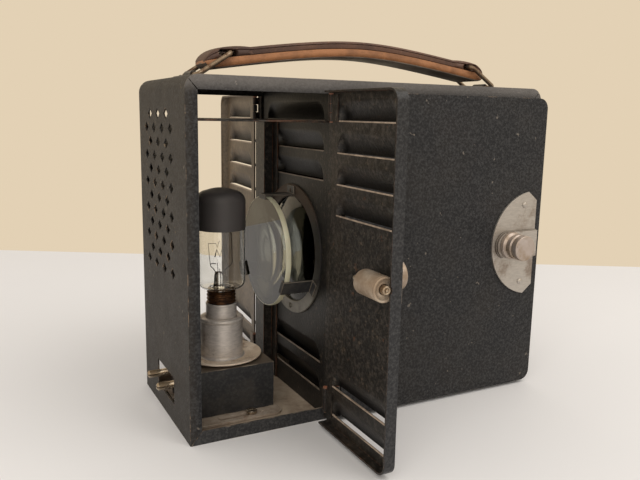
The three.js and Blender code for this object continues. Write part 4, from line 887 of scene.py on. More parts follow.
class StageOperator(bpy.types.Operator):
    """Adds the table, the light and the camera"""

    bl_idname = "projector.stage"
    bl_label = "Stage"

    eye = (-0.231864, -0.410787, 0.189594)
    yaw, pitch, roll = 27.597, 10.3206, 1.0569
    focal_pixels = 685.37
    picture_width, picture_height = 640, 480
    # The table's back edge: its rows at the picture's sides, and metres beyond them, aside and towards the viewer
    table_back_left, table_back_right = 250, 267
    table_side, table_depth = 3, 5

    def axes(self):
        yaw, pitch, roll = (math.radians(a) for a in (self.yaw, self.pitch, self.roll))
        forward = Vector((math.sin(yaw) * math.cos(pitch), math.cos(yaw) * math.cos(pitch), -math.sin(pitch)))
        right = Vector((math.cos(yaw), -math.sin(yaw), 0))
        up = right.cross(forward)
        across = right * math.cos(roll) + up * math.sin(roll)
        upward = up * math.cos(roll) - right * math.sin(roll)
        return forward, across, upward

    def on_table(self, column, row):
        forward, across, upward = self.axes()
        right, up = column - self.picture_width / 2, self.picture_height / 2 - row
        ray = forward + across * right / self.focal_pixels + upward * up / self.focal_pixels
        return Vector(self.eye) - ray * (self.eye[2] / ray.z)

    def execute(self, context):
        forward, across, upward = self.axes()
        camera = bpy.data.cameras.new("photo camera")
        camera.sensor_width = 36
        camera.lens = self.focal_pixels * 36 / self.picture_width
        camera.clip_start = 0.01
        viewer = bpy.data.objects.new("photo camera", camera)
        turn = Matrix((across, upward, -forward)).transposed().to_4x4()
        viewer.matrix_world = Matrix.Translation(self.eye) @ turn
        context.scene.collection.objects.link(viewer)
        context.scene.camera = viewer

        left = self.on_table(0, self.table_back_left)
        right = self.on_table(self.picture_width, self.table_back_right)
        along = (right - left).normalized()
        back = Vector((along.y, -along.x, 0))
        if back.dot(forward) > 0:
            back = -back
        far = [left - along * self.table_side, right + along * self.table_side]
        corners = far + [p + back * self.table_depth for p in far[::-1]]
        bm = bmesh.new()
        bm.faces.new([bm.verts.new(p) for p in corners])
        bm.normal_update()
        for face in bm.faces:
            if face.normal.z < 0:
                face.normal_flip()
        mesh = mesh_from(bm, "table")
        table = bpy.data.objects.new("table", mesh)
        mesh.materials.append(finish("table_top"))
        context.scene.collection.objects.link(table)

        self.add_world(context)
        self.add_lamp(context, "key light", (0.55, -0.75, 1.25), (0.02, 0, 0.1), 1.1, 7.5)
        self.add_lamp(context, "fill light", (-0.9, -1.0, 0.9), (-0.05, 0, 0.1), 1.0, 6.0)
        context.scene.view_settings.view_transform = "Standard"
        return {"FINISHED"}

    def add_lamp(self, context, name, place, target, width, power):
        data = bpy.data.lights.new(name, "AREA")
        data.size = width
        data.energy = power
        lamp = bpy.data.objects.new(name, data)
        direction = Vector(target) - Vector(place)
        lamp.matrix_world = Matrix.Translation(place) @ direction.to_track_quat("-Z", "Y").to_matrix().to_4x4()
        context.scene.collection.objects.link(lamp)

    def add_world(self, context):
        world = bpy.data.worlds.new("room")
        world.use_nodes = True
        tree = world.node_tree
        tree.nodes.clear()
        path = tree.nodes.new("ShaderNodeLightPath")
        seen = None
        for ray in ("Is Camera Ray", "Is Transmission Ray", "Is Glossy Ray"):
            either = tree.nodes.new("ShaderNodeMath")
            either.operation = "MAXIMUM"
            tree.links.new(path.outputs[ray], either.inputs[0])
            if seen:
                tree.links.new(seen.outputs[0], either.inputs[1])
            else:
                either.inputs[1].default_value = 0
            seen = either
        shown = tree.nodes.new("ShaderNodeBackground")
        shown.inputs[0].default_value = rgba(colours().wall)
        light = tree.nodes.new("ShaderNodeBackground")
        light.inputs[0].default_value = rgba((1.0, 0.98, 0.95))
        light.inputs[1].default_value = 0.8
        blend = tree.nodes.new("ShaderNodeMixShader")
        tree.links.new(seen.outputs[0], blend.inputs[0])
        tree.links.new(light.outputs[0], blend.inputs[1])
        tree.links.new(shown.outputs[0], blend.inputs[2])
        end = tree.nodes.new("ShaderNodeOutputWorld")
        tree.links.new(blend.outputs[0], end.inputs[0])
        context.scene.world = world


class CaseOperator(bpy.types.Operator):
    """Dresses the sheet metal of the case"""

    bl_idname = "projector.case"
    bl_label = "Case"

    # The mitres' inner ends, metres from the case's middle and floor
    mitre_x, mitre_z, mitre_reach = 0.119, 0.202, 0.0008

    def execute(self, context):
        softened("case_wrap", "case_paint", weld=0.0001, spared=self.at_mitre)
        softened("floor_pan", "floor_paint")
        softened("far_panel", "door_paint")
        softened("partition", "partition_paint")
        for node in ("light_baffle", "far_channel", "hinge_post_near", "hinge_post_far"):
            softened(node, "inner_paint")
        return {"FINISHED"}

    def at_mitre(self, place):
        """Whether a vertex is at the inner end of a mitre, where the lips' edges crowd together."""
        across, up = abs(abs(place.x) - self.mitre_x), abs(place.z - self.mitre_z)
        return max(across, up) < self.mitre_reach


class DoorsOperator(bpy.types.Operator):
    """Dresses the three doors and their hinge pins"""

    bl_idname = "projector.doors"
    bl_label = "Doors"

    def execute(self, context):
        softened("near_lamp_door", "inner_paint")
        softened("far_lamp_door", "far_door_paint")
        softened("side_door", "door_paint")
        for node, pin in frame["nodes"].items():
            if "_pin_" in node and not node.startswith("inlet"):
                pin.data.materials.clear()
                pin.data.materials.append(finish("rusty_pin"))
        return {"FINISHED"}


class LouversOperator(bpy.types.Operator):
    """Presses fine louver hoods into the partition and the lamp doors"""

    bl_idname = "projector.louvers"
    bl_label = "Louvers"

    # Millimetres, as in the solids
    sheet, rise, depth = 1.0, 11.4, 4.0
    corner, end_slope = 9.0, 5.0
    pivot_x, pivot_y, proud = -41.7, 58.0, 1.0
    door_lips = (187, 169, 151, 133, 28.4, 10.4)
    partition_lips = (187, 169, 151, 35, 16.5)
    # The window around a hood, the strip below its lip, and the gap around what fills the window
    margin, strip, gap = 0.6, 1.6, 0.01

    def execute(self, context):
        self.press("partition", Vector((-37.0, 0, 0)), Y, X, (-42.5, 85.0), self.partition_lips, "partition_paint")
        for door, side, material in (("near_lamp_door", -1, "inner_paint"), ("far_lamp_door", 1, "far_door_paint")):
            outward, reach = door_ways(door)
            origin = Vector((self.pivot_x, self.pivot_y * side, 0)) + outward * self.proud
            self.press(door, origin, reach, outward, (8.8, 61.0), self.door_lips, material)
            for part in ("_skin", "_louvers"):
                self.mark_outside(bpy.data.objects[door + part].data, outward, reach)
        return {"FINISHED"}

    def mark_outside(self, mesh, outward, reach):
        """Marks the faces that the closed door shows, which wear the case's paint."""
        ways = [(way, max(v.co.dot(way) for v in mesh.vertices)) for way in (reach, -reach, Z, -Z)]
        rim, corner = 0.0006, 0.012

        def is_shown(face):
            if face.normal.dot(outward) > 0.3:
                return True
            near = [face.normal.dot(way) for way, far in ways if face.center.dot(way) > far - corner]
            at_edge = any(face.normal.dot(way) > 0.7 and face.center.dot(way) > far - rim for way, far in ways)
            return at_edge or (len(near) == 2 and min(near) > 0.05)

        mark(mesh, "outside", [float(is_shown(p)) for p in mesh.polygons])

    def swell(self, share, up, length):
        """How far the hood stands out, at a place along it and a height over its lip."""
        end = min(share, length - share)
        if end <= 0:
            return 0.0
        roof = self.rise * math.sqrt(1 - (1 - min(end / self.corner, 1)) ** 2)
        if up >= roof:
            return 0.0
        lip = self.depth * math.sqrt(1 - (1 - min(end / self.end_slope, 1)) ** 2)
        return lip * (1 - (up / roof) ** 1.6) ** 1.4

    def lines(self, start, length):
        """Columns along a hood, close together at its ends, and rows up it, close together at the lip."""
        ends = [i * 0.7 for i in range(15)]
        between = length - 2 * ends[-1]
        count = round(between / 3)
        columns = [start - self.margin + self.gap] + [start + x for x in ends]
        columns += [start + ends[-1] + between * i / count for i in range(1, count)]
        columns += [start + length - x for x in ends[::-1]] + [start + length + self.margin - self.gap]
        rows = [self.rise * (i / 14) ** 1.15 for i in range(15)] + [self.rise + self.margin - self.gap]
        return columns, rows

    def add_hood(self, bm, place, start, length, lip):
        """Two grids a sheet's thickness apart, and the rim between them."""
        wear, pit = bm.faces.layers.float["wear"], bm.verts.layers.float["pit"]
        columns, rows = self.lines(start, length)
        grids = []
        for inset in (0.0, self.sheet):
            grids.append([[bm.verts.new(place(u, self.swell(u - start, up, length) - inset, lip + up))
                           for u in columns] for up in rows])
        outer, inner = grids
        # Each inner vertex carries how far the hood stands out there, which the finish turns into painted shade
        for line, up in zip(inner, rows):
            for vertex, u in zip(line, columns):
                vertex[pit] = self.swell(u - start, up, length) / self.depth
        wide, tall = len(columns) - 1, len(rows) - 1
        for i in range(tall):
            for j in range(wide):
                for grid in grids:
                    bm.faces.new((grid[i][j], grid[i][j + 1], grid[i + 1][j + 1], grid[i + 1][j]))
        rim = [(0, j) for j in range(wide)] + [(i, wide) for i in range(tall)]
        rim += [(tall, j) for j in range(wide, 0, -1)] + [(i, 0) for i in range(tall, 0, -1)]
        for (a, b), (c, d) in zip(rim, rim[1:] + rim[:1]):
            face = bm.faces.new((outer[a][b], outer[c][d], inner[c][d], inner[a][b]))
            face[wear] = float(a == c == 0)

    def add_strip(self, bm, place, low, high, lip):
        """The sheet below a lip, whose rounded top edge is bare."""
        bare = bm.faces.layers.float["bare"]
        back, floor, top = -self.sheet, lip - self.strip + self.gap, lip - 0.1
        section = [
            (back, floor), (0, floor), (0, top - 0.25), (-0.08, top - 0.07), (-0.25, top), (back + 0.25, top),
            (back + 0.08, top - 0.07), (back, top - 0.25), (back, top - 0.8)]
        first, last = [[bm.verts.new(place(u, w, z)) for w, z in section] for u in (low + self.gap, high - self.gap)]
        for i in range(len(section)):
            j = (i + 1) % len(section)
            face = bm.faces.new((first[i], first[j], last[j], last[i]))
            face[bare] = float(2 <= i <= 7)
        bm.faces.new(first)
        bm.faces.new(last)

    def press(self, node, origin, along, outward, reach, lips, material):
        """Cuts a window for each louver into the sheet, and sets a hood and the slot's bare edge into it."""
        start, length = reach
        low, high = start - self.margin, start + length + self.margin

        def place(u, w, z):
            return (origin + along * u + outward * w + Z * z) * MM

        boxes = []
        bm = bmesh.new()
        bm.faces.layers.float.new("wear")
        bm.faces.layers.float.new("bare")
        bm.verts.layers.float.new("pit")
        for lip in lips:
            heights, depths = (lip - self.strip, lip + self.rise + self.margin), (-self.sheet - 0.05, self.depth + 1)
            corners = [place(u, w, z) for u in (low, high) for w in depths for z in heights]
            boxes.append((corners, BOX_FACES))
            self.add_hood(bm, place, start, length, lip)
            self.add_strip(bm, place, low, high, lip)
        bmesh.ops.recalc_face_normals(bm, faces=bm.faces)
        mesh = mesh_from(bm, node + "_louvers", 40)
        skin = bpy.data.objects[node + "_skin"]
        cut_out(skin, joined(boxes, "windows"))
        welded = bmesh.new()
        welded.from_mesh(skin.data)
        bmesh.ops.remove_doubles(welded, verts=welded.verts, dist=WELD)
        welded.to_mesh(skin.data)
        welded.free()
        skin.data.set_sharp_from_angle(angle=math.radians(50))
        shade_evenly(skin)
        add_piece(node + "_louvers", mesh, body_of(node), material)


class LatchesOperator(bpy.types.Operator):
    """Turns the knobs, bolts and barrels of the latches, and dresses their plates"""

    bl_idname = "projector.latches"
    bl_label = "Latches"

    # Metres from the bolt up and down to the plate's rivets
    rivet_rise = {"near_lamp_door": 0.01998, "far_lamp_door": 0.01998, "side_door": 0.02694}

    def execute(self, context):
        for door in self.rivet_rise:
            outward, reach = door_ways(door)
            softened(door + "_plate", "aluminium", 0.0003)
            self.shade_housing(door, outward)
            self.add_knob(door, outward)
            self.add_barrel(door, reach)
            self.add_bolt(door, reach)
            self.add_plate_rivets(door, outward, reach)
        return {"FINISHED"}

    def shade_housing(self, door, outward):
        """Marks the walls of the slide housing, which the aluminium finish darkens as painted shade."""
        mesh = bpy.data.objects[door + "_plate_skin"].data
        face = span(door + "_plate", outward)[0] + 0.0013
        walls = [float(p.center.dot(outward) > face and abs(p.normal.dot(outward)) < 0.8) for p in mesh.polygons]
        mark(mesh, "darkening", walls)

    def add_plate_rivets(self, door, outward, reach):
        """Round heads on the two rivets of a latch plate."""
        plate = door + "_plate"
        along = reach * (span(plate, reach)[1] - 0.011)
        face = outward * (span(plate, outward)[0] + 0.0012)
        level = middle(door + "_bolt").z
        places = [(along + face + Z * (level + side * self.rivet_rise[door]), outward) for side in (-1, 1)]
        add_rivets(plate + "_rivets", places, plate, "aluminium", sizes().rivet_radius, sizes().rivet_height)

    def add_knob(self, door, outward):
        node = door + "_knob"
        low, high = span(node, outward)
        across = Z.cross(outward)
        base = across * (sum(span(node, across)) / 2) + Z * (sum(span(node, Z)) / 2)
        foot = high - 0.0142
        # Radius and height over the foot, millimetres
        head = [
            (2.6, 0.2), (9.3, 0.2), (9.3, 2.4), (7.6, 3.8), (7.6, 4.6), (8.6, 5.4), (8.6, 8.0), (7.6, 8.7), (7.6, 9.2),
            (8.6, 9.8), (8.6, 13.6), (8.1, 14.2), (4.5, 14.0), (0, 13.9)]
        profile = [(0, low + 0.0002), (0.0026, low + 0.0002)] + [(r * MM, foot + h * MM) for r, h in head]
        add_turned(node + "_turned", node, eased(profile, 0.0004), base, outward, "knob_metal", 64)

    def add_barrel(self, door, reach):
        """A drawn cup, closed and rounded at the rear, with a rolled rim around a dished front."""
        node = door + "_barrel"
        low, high = span(node, reach)
        radius, bore, bend = 0.00688, 0.00265, 0.0018
        turns = [math.radians(a) for a in range(0, 91, 15)]
        cup = [(bore, low)] + [
            (radius - bend + bend * math.sin(a), low + bend - bend * math.cos(a)) for a in turns]
        # Distance from the cup's wall and from its front, millimetres
        rim = [(0, 1.9), (0.22, 1.8), (0.22, 1.5), (0, 1.3), (0, 0.6), (0.3, 0.12), (0.9, 0), (1.4, 0.4), (1.9, 1.1)]
        front = [(radius - r * MM, high - h * MM) for r, h in rim]
        front += [(0.0040, high - 0.0015), (0.0030, high - 0.0014), (bore, high - 0.0018), (bore, low)]
        base = on_axis(door + "_bolt", reach)
        add_turned(node + "_turned", node, eased(cup + front, 0.00012, 2), base, reach, "barrel_metal")

    def add_bolt(self, door, reach):
        node = door + "_bolt"
        low, high = span(node, reach)
        sleeve = span(door + "_barrel", reach)[0] + 0.002
        # Radius and distance from the nose, millimetres
        nose = [(2.5, 1.0), (2.3, 0.4), (1.8, 0.1), (1.3, 0.4), (1.2, 0.9), (0.9, 0.9), (0.8, 0.1), (0, 0)]
        profile = [(0, low), (0.0015, low), (0.0015, sleeve), (0.0025, sleeve)]
        profile = eased(profile + [(r * MM, high - h * MM) for r, h in nose], 0.00012, 2)
        add_turned(node + "_turned", node, profile, on_axis(node, reach), reach, "nickel", 48)


class LampOperator(bpy.types.Operator):
    """Turns the lamp, its cap and its socket"""

    bl_idname = "projector.lamp"
    bl_label = "Lamp"

    def execute(self, context):
        centre = middle("lamp_glass")
        axis = Vector((centre.x, centre.y, 0))
        self.add_socket(axis)
        self.add_cap(axis)
        self.add_glass(axis)
        self.add_filament(axis)
        return {"FINISHED"}

    def add_socket(self, axis):
        """A dished disc on the box, the sleeve that stands on it, and the collar inside."""
        disc = [
            (12.9, 32.85), (19.0, 32.85), (25.6, 34.6), (26.0, 35.2), (25.7, 35.9), (19.2, 34.1), (12.9, 34.1),
            (12.9, 32.85)]
        sleeve = [
            (12.7, 34.0), (15.3, 34.1), (14.1, 34.6), (13.7, 35.6), (13.7, 57.6), (14.25, 58.3), (14.4, 59.0),
            (14.1, 59.7), (13.2, 60.2), (10.2, 60.2), (10.2, 59.2), (12.7, 59.2), (12.7, 34.0)]
        collar = [
            (8.7, 34.2), (9.9, 34.2), (9.9, 68.2), (10.1, 68.4), (10.1, 69.1), (9.8, 69.4), (8.9, 69.4), (8.7, 69.2),
            (8.7, 34.2)]
        for name, node, profile, ease, material in (
                ("socket_disc", "lamp_socket", disc, 0.0004, "dusty_disc"),
                ("socket_sleeve", "lamp_socket", sleeve, 0.0005, "dull_aluminium"),
                ("collar_spun", "socket_collar", collar, 0.0002, "dull_aluminium")):
            profile = eased(millimetres(profile), ease)
            add_turned(name, node, profile, axis, Z, material, 96, replaces=name != "socket_disc")

    def add_cap(self, axis):
        """The screw cap, whose rolled thread stands above the collar."""
        profile = [(0, 60.3), (8.4, 60.3), (8.4, 69.6), (9.2, 69.7)]
        turns, steps, low, high = 3, 8, 69.9, 76.8
        for i in range(turns * steps):
            share = i / (turns * steps)
            profile.append((8.95 + 0.45 * math.cos(share * turns * 2 * math.pi), low + (high - low) * share))
        profile += [(8.9, 77.0), (8.6, 77.5), (0, 77.6)]
        add_turned("cap_spun", "lamp_cap", millimetres(profile), axis, Z, "cap_brass", 72, 60)

    def add_glass(self, axis):
        """The blown bulb, and the lacquer that covers its crown."""
        def bulb(inset):
            line = [(7.6 - inset, 77.8), (7.6 - inset, 78.9 + inset * 0.6), (9.4, 79.2 + inset)]
            line += arc((15.5 - 4.6, 79.2 + 4.6), 4.6 - inset, -82, 0, 12)
            line += [(15.5 - inset, 100), (15.5 - inset, 118)]
            line += arc((15.5 - 7.2, 134.6), 7.2 - inset, 0, 68, 10)
            line += arc((0, 118.2), 25.2 - inset, 66, 90, 8)[2:]
            return line
        outer, inner = bulb(0), bulb(0.75)
        profile = millimetres(outer + inner[::-1] + [outer[0]])
        add_turned("bulb_blown", "lamp_glass", profile, axis, Z, "lamp_glass", 96, 60)
        crown = [(15.54, 117.7), (15.7, 117.5), (15.76, 118.0), (15.76, 134.4)]
        crown += arc((15.76 - 7.2, 134.8), 7.2, 0, 66, 12)
        crown += arc((0, 118.3), 25.4, 66, 90, 10)[2:]
        under = [(15.54, 134.4)] + arc((15.5 - 7.1, 134.7), 7.14, 0, 66, 10) + arc((0, 118.25), 25.24, 66, 90, 8)[2:]
        profile = millimetres(crown + under[::-1] + [crown[0]])
        add_turned("crown_lacquered", "lamp_dome", profile, axis, Z, "lamp_coating", 96, 60)

    def add_filament(self, axis):
        """A pinched glass stem, bent lead wires, a frame of thin wire and the zigzag coil."""
        across = Vector((0.886, -0.463, 0))
        lean = -1.6
        stem = [(0, 77.9), (4.6, 77.9), (3.7, 79.6), (3.1, 81.6), (2.9, 86.4), (2.5, 88.4), (1.2, 89.3), (0, 89.4)]
        stem = eased(millimetres(stem), 0.0008)
        foot = axis + across * lean * MM
        add_turned("stem_blown", "lamp_filament", stem, foot, Z, "lamp_glass", 32, 60, replaces=False)
        # Radius of each wire, and its points across the lamp and up
        wires = [
            (0.3, [(-3.6, 78.6), (-3.4, 86.0), (-3.2, 88.6), (-4.9, 91.2), (-6.7, 92.8), (-6.9, 94.1), (-5.4, 94.6),
                   (-3.1, 94.5)]),
            (0.3, [(0.4, 78.6), (0.7, 86.0), (1.4, 89.2), (2.6, 90.9), (6.4, 94.2), (7.2, 96.0), (6.7, 114.4),
                   (5.8, 115.4), (2.4, 116.0)]),
            (0.2, [(-6.9, 94.1), (-7.4, 98.4), (-8.1, 107.6), (-3.3, 107.8), (-2.4, 105.2), (-0.9, 109.6)]),
            (0.2, [(-2.2, 79.0), (-2.6, 84.0), (-2.0, 90.4), (-2.4, 95.2)]),
            (0.2, [(-0.8, 79.0), (-0.6, 84.6), (-0.9, 91.2)]),
            (0.45, [(-4.0, 88.4), (-2.6, 89.2), (-0.6, 89.3), (0.7, 88.8)]),
            (0.45, [(-3.9, 98.9), (-2.7, 103.8), (-0.6, 99.0), (0.3, 103.5), (1.0, 98.9), (1.8, 103.6), (2.4, 99.6)]),
        ]
        parts = [wire_mesh([(*(across * u).xy, z) for u, z in line], radius) for radius, line in wires]
        mesh = joined(parts, "filament_wound", axis)
        add_piece("filament_wound", mesh, body_of("lamp_filament"), "filament_wire", ["lamp_filament"])


class CarriageOperator(bpy.types.Operator):
    """Dresses the lamp carriage, its screws and the mains inlet"""

    bl_idname = "projector.carriage"
    bl_label = "Lamp carriage"

    def execute(self, context):
        softened("carriage_foot", "dusty_foot")
        softened("carriage_box", "box_black", 0.0004)
        softened("clamp_screw_near", "nickel")
        softened("clamp_screw_far", "nickel")
        softened("inlet_block", "bakelite", 0.0006)
        softened("inlet_pin_near", "nickel")
        softened("inlet_pin_far", "nickel")
        return {"FINISHED"}


class CondenserOperator(bpy.types.Operator):
    """Grinds the condenser lenses and dresses their mount"""

    bl_idname = "projector.condenser"
    bl_label = "Condenser"

    # The mounting ring and its rivets, metres
    ring_thickness, ring_opening = 0.0012, 0.0354
    rivet_radius, rivet_height = 0.0019, 0.0013

    def execute(self, context):
        self.add_lens("condenser_lens_front", 1, "condenser_glass", "ground_rim")
        self.add_lens("condenser_lens_rear", -1, "shaded_glass", "smooth_black")
        self.add_ring()
        softened("lens_retainer", "smooth_black")
        for side in ("top", "near", "far"):
            softened("condenser_arm_" + side, "edge_worn_black", 0.0002)
        return {"FINISHED"}

    def add_lens(self, node, way, glass, edge):
        """A plano-convex glass, and the three ground bands of its edge as a ring of their own."""
        low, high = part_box(node)
        base = on_axis(node, X) + X * (low.x if way > 0 else high.x)
        radius = (high.z - low.z) / 2 / MM
        rim, sagitta, band, gap = 3.4, 6.6, 0.7, 0.02
        curve = (radius ** 2 + sagitta ** 2) / (2 * sagitta)
        inner = radius - band

        def height(r):
            return rim + math.sqrt(curve ** 2 - r ** 2) - curve + sagitta

        profile = [(0, 0), (inner, 0)] + [(r, height(r)) for r in (inner * (1 - i / 16) for i in range(17))]
        add_turned(node + "_ground", node, millimetres(profile), base, X * way, glass, 128, 25)
        # Distance from the lens's rim and from its flat face, millimetres
        bands = [
            (0.35, 0.05), (0.02, 0.75), (0.2, 1.05), (0.02, 1.35), (0.02, 2.3), (0.2, 2.5), (0.02, 2.75), (0.25, rim)]
        hoop = [(inner + gap, 0.05)] + [(radius - r, h) for r, h in bands]
        hoop += [(inner + gap, height(inner)), (inner + gap, 0.05)]
        add_turned(node + "_edge", node, millimetres(hoop), base, X * way, edge, 128, 25, replaces=False)

    def add_ring(self):
        """The mounting ring, with its rivets above and below the aperture."""
        node = "condenser_ring"
        low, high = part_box(node)
        outer, inner = (high.z - low.z) / 2, self.ring_opening
        axis = on_axis(node, X)
        back, front = high.x, high.x - self.ring_thickness
        profile = [
            (inner, back), (outer, back), (outer, front), (outer - 0.0009, front - 0.00005), (inner + 0.0006, front),
            (inner, front + 0.0002), (inner, back)]
        add_turned(node + "_turned", node, eased(profile, 0.0002), axis, X, "ring_steel", 128)
        between = (outer + inner) / 2
        places = [(axis + X * front + Z * side * between, -X) for side in (-1, 1)]
        add_rivets(node + "_rivets", places, node, "ring_steel", self.rivet_radius, self.rivet_height)


class GateOperator(bpy.types.Operator):
    """Dresses the slide gate"""

    bl_idname = "projector.gate"
    bl_label = "Slide gate"

    def execute(self, context):
        for node in ("gate_plate", "pressure_plate"):
            softened(node, "smooth_black")
        return {"FINISHED"}


class LensOperator(bpy.types.Operator):
    """Turns the projection lens and its mount"""

    bl_idname = "projector.lens"
    bl_label = "Lens"

    # Metres: circle and length of the grip's ridges, and their middle from the barrel's front
    grip_circle, grip_length, grip_back = 0.0223, 0.0062, 0.0042

    def execute(self, context):
        softened("lens_mount", "smooth_black", 0.0003)
        low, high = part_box("lens_barrel")
        centre = on_axis("lens_barrel", X)
        a, b = low.x / MM, high.x / MM
        profile = [
            (17.8, a), (20.6, a), (20.8, a + 0.4), (20.8, b - 8.4), (22.2, b - 8.0), (22.4, b - 7.6), (22.4, b - 0.8),
            (22.0, b - 0.1), (20.6, b), (20.0, b - 0.4), (19.2, b - 1.4), (19.2, b - 6.3), (18.0, b - 6.3),
            (18.0, b - 7.5), (19.2, b - 7.5), (19.2, a + 1.2), (17.8, a + 1.2), (17.8, a)]
        profile = eased(millimetres(profile), 0.00025)
        add_turned("barrel_turned", "lens_barrel", profile, centre, X, "aluminium", 96)
        s = sizes()
        ridges = knurl_tree().grow("lens_grip_knurls", bpy.data.meshes.new("lens_grip_knurls"), {
            "Count": s.knurl_count, "Circle": self.grip_circle, "Radius": s.knurl_radius, "Length": self.grip_length,
            "Centre": (high.x - self.grip_back, centre.y, centre.z), "Material": finish("aluminium")})
        add_piece("lens_grip_knurls", ridges, body_of("lens_barrel"), "aluminium")
        for node in ("lens_front_glass", "lens_rear_glass"):
            self.add_glass(node, centre)
        return {"FINISHED"}

    def add_glass(self, node, centre):
        """A lens that is convex on both sides."""
        radius, edge, bulge = 18.6, 1.5, 3.3
        x = middle(node).x / MM
        turns = [math.radians(i * 9) for i in range(1, 11)]
        profile = [(0, x - edge - bulge)]
        profile += [(radius * math.sin(a), x - edge - bulge * math.cos(a)) for a in turns]
        profile += [(r, 2 * x - h) for r, h in profile[::-1]]
        add_turned(node + "_ground", node, millimetres(profile), centre, X, "condenser_glass", 96, 40)


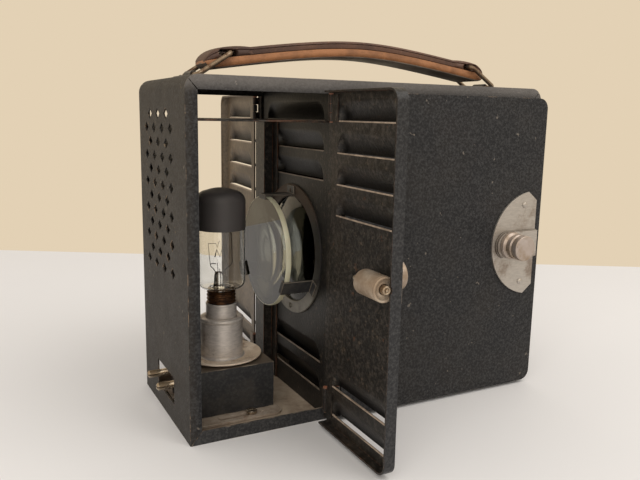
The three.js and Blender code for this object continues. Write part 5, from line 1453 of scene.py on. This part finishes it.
class HandleOperator(bpy.types.Operator):
    """Lays up and stitches the leather handle, and bends its rings"""

    bl_idname = "projector.handle"
    bl_label = "Handle"

    # Millimetres: the strap's arch, its half width and thickness, its end, and its swell over the rings
    soft_share = 0.42
    crest, drop = 231.8, 12.0
    width, thick = 12.4, 5.25
    end_length, end_taper, end_least = 9.0, 3.2, 0.25
    swell_place, swell_reach, swell_rise = 90.4, 14, 1.6
    stations = 121
    # Up one side of the strap: distance from the side (None is a groove's depth), share of the height, layer
    flank = (
        (1.6, -1, 2), (0.5, -0.97, 2), (0.1, -0.88, 2), (0.1, -0.84, 2), (None, -0.8, 1), (0.15, -0.74, 1),
        (0, -0.3, 1), (0.1, 0.06, 1), (None, 0.1, 0), (0.1, 0.15, 0), (0, 0.35, 0), (0.1, 0.62, 0), (None, 0.67, 0),
        (0, 0.72, 0), (0.1, 0.86, 0), (0.8, 0.96, 0), (2.6, 1, 0))
    # The stitches' line: distance from the middle, height as a share of the thickness, and share of the length
    stitch_y, stitch_height, stitch_share = 11.75, 0.67, 0.9

    def height(self, share):
        soft = self.soft_share
        return self.crest - self.drop * (math.hypot(share, soft) - soft) / (math.hypot(1, soft) - soft)

    def section(self, share, centre, half):
        """Points around the strap at one station: (x, y, z, layer) in millimetres."""
        x = centre + share * half
        end = min((1 - abs(share)) * half / self.end_length, 1)
        roundness = math.sqrt(max(1 - (1 - end) ** 2, 0))
        swell = self.swell_rise * max(1 - ((abs(x - centre) - self.swell_place) / self.swell_reach) ** 2, 0)
        top = (self.thick + swell) * max(roundness, self.end_least)
        low = self.thick * max(roundness, self.end_least)
        half_width = self.width - (1 - roundness) * self.end_taper
        z = self.height(share)
        groove = sizes().strap_layer / MM
        right = [(0.0, -low, 2)]
        for inset, part, layer in self.flank:
            y = half_width - (groove if inset is None else inset)
            right.append((y, part * (top if part > 0 else low), layer))
        right.append((half_width * 0.5, top + 0.2, 0))
        left = [(-y, h, layer) for y, h, layer in right[1:]][::-1]
        return [(x, y, z + h, layer) for y, h, layer in right + [(0.0, top + 0.3, 0)] + left]

    def execute(self, context):
        low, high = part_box("handle_strap")
        centre = (low.x + high.x) / 2 / MM
        half = (high.x - low.x) / 2 / MM - 0.2
        mesh = self.laid_up(centre, half)
        strap = add_piece("strap_laid_up", mesh, "handle", "saddle_leather", ["handle_strap"])
        cut_out(strap, self.ring_eyes(centre))
        self.add_stitches(centre, half)
        for side in ("left", "right"):
            self.add_ring(side)
            softened("ring_saddle_" + side, "smooth_black")
        return {"FINISHED"}

    def laid_up(self, centre, half):
        """The strap's skin from end to end, with the layer of each vertex."""
        last = self.stations - 1
        rings = [self.section(math.sin((i / last - 0.5) * math.pi), centre, half) for i in range(self.stations)]
        count = len(rings[0])
        faces = []
        for i in range(last):
            for j in range(count):
                k = (j + 1) % count
                faces.append((i * count + j, i * count + k, (i + 1) * count + k, (i + 1) * count + j))
        faces += [tuple(range(count)), tuple(range(last * count, self.stations * count))]
        mesh = bpy.data.meshes.new("strap_laid_up")
        mesh.from_pydata([Vector(p[:3]) * MM for ring in rings for p in ring], [], faces)
        mark(mesh, "layer", [float(p[3]) for ring in rings for p in ring], "POINT")
        bm = bmesh.new()
        bm.from_mesh(mesh)
        bmesh.ops.recalc_face_normals(bm, faces=bm.faces)
        bpy.data.meshes.remove(mesh)
        return mesh_from(bm, "strap_laid_up", 60)

    def ring_eyes(self, centre):
        """The long eyes for the rings, as a shape to cut out."""
        parts = []
        for side in (-1, 1):
            x, z, radius = centre + side * 90.37, 225.2, 2.0
            low, high = sorted((x - side * 3.6, x + side * 5.0))
            outline = arc((high, z), radius, -90, 90, 8) + arc((low, z), radius, 90, 270, 8)
            count = len(outline)
            faces = [tuple(range(count)), tuple(range(count, 2 * count))]
            faces += [(j, (j + 1) % count, count + (j + 1) % count, count + j) for j in range(count)]
            parts.append(([Vector((u, y, w)) * MM for y in (-20, 20) for u, w in outline], faces))
        return joined(parts, "ring eyes")

    def add_stitches(self, centre, half):
        """A line of stitches in the groove on each side."""
        verts, edges = [], []
        steps = 90
        for edge in (-1, 1):
            for i in range(steps + 1):
                share = self.stitch_share * (2 * i / steps - 1)
                z = self.height(share) + self.thick * self.stitch_height
                verts.append(Vector((centre + share * half, edge * self.stitch_y, z)) * MM)
                if i:
                    edges.append((len(verts) - 2, len(verts) - 1))
        mesh = bpy.data.meshes.new("handle_stitches")
        mesh.from_pydata(verts, edges, [])
        s = sizes()
        grown = stitch_tree().grow("handle_stitches", mesh, {
            "Pitch": s.stitch_gap, "Length": s.stitch_length, "Radius": s.stitch_radius, "Material": finish("thread")})
        add_piece("handle_stitches", grown, "handle", "thread")

    def add_ring(self, side):
        """A bent wire ring that leans from its saddle to the strap."""
        node = "handle_ring_" + side
        low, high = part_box(node)
        way, inset = (-1 if side == "left" else 1), 0.0015
        foot = Vector((low.x + inset if way < 0 else high.x - inset, 0, low.z + inset)) / MM
        tilt = math.radians(33)
        along = Vector((-way * math.cos(tilt), 0, math.sin(tilt)))
        reach, half, corner = 24.6, 15.5, 3.2
        path = []
        for u, v, start in ((corner, corner - half, 180), (reach - corner, corner - half, 270),
                            (reach - corner, half - corner, 0), (corner, half - corner, 90)):
            path += [foot + along * p + Y * q for p, q in arc((u, v), corner, start, start + 90, 8)]
        mesh = joined([wire_mesh(path, 1.48, 14, True)], node + "_bent")
        add_piece(node + "_bent", mesh, body_of(node), "wire_metal", [node])


operators = (
    StageOperator, CaseOperator, DoorsOperator, LouversOperator, LatchesOperator, LampOperator, CarriageOperator,
    CondenserOperator, GateOperator, LensOperator, HandleOperator)


class ProjectorPanel(bpy.types.Panel):
    """Lists the steps and settings of the dressing"""

    bl_idname = "VIEW3D_PT_projector"
    bl_label = "Slide projector"
    bl_space_type = "VIEW_3D"
    bl_region_type = "UI"
    bl_category = "Projector"

    def draw(self, context):
        for step in operators:
            self.layout.operator(step.bl_idname)
        for group in (context.scene.projector_sizes, context.scene.projector_colours):
            box = self.layout.box()
            for key in group.__annotations__:
                box.prop(group, key)


classes = (ProjectorSizes, ProjectorColours, *operators, ProjectorPanel)


def register():
    for item in classes:
        bpy.utils.register_class(item)
    bpy.types.Scene.projector_sizes = bpy.props.PointerProperty(type=ProjectorSizes)
    bpy.types.Scene.projector_colours = bpy.props.PointerProperty(type=ProjectorColours)


def unregister():
    del bpy.types.Scene.projector_colours
    del bpy.types.Scene.projector_sizes
    for item in reversed(classes):
        bpy.utils.unregister_class(item)


def main():
    register()
    for step in operators:
        group, name = step.bl_idname.split(".")
        getattr(getattr(bpy.ops, group), name)()


if __name__ == "__main__":
    main()
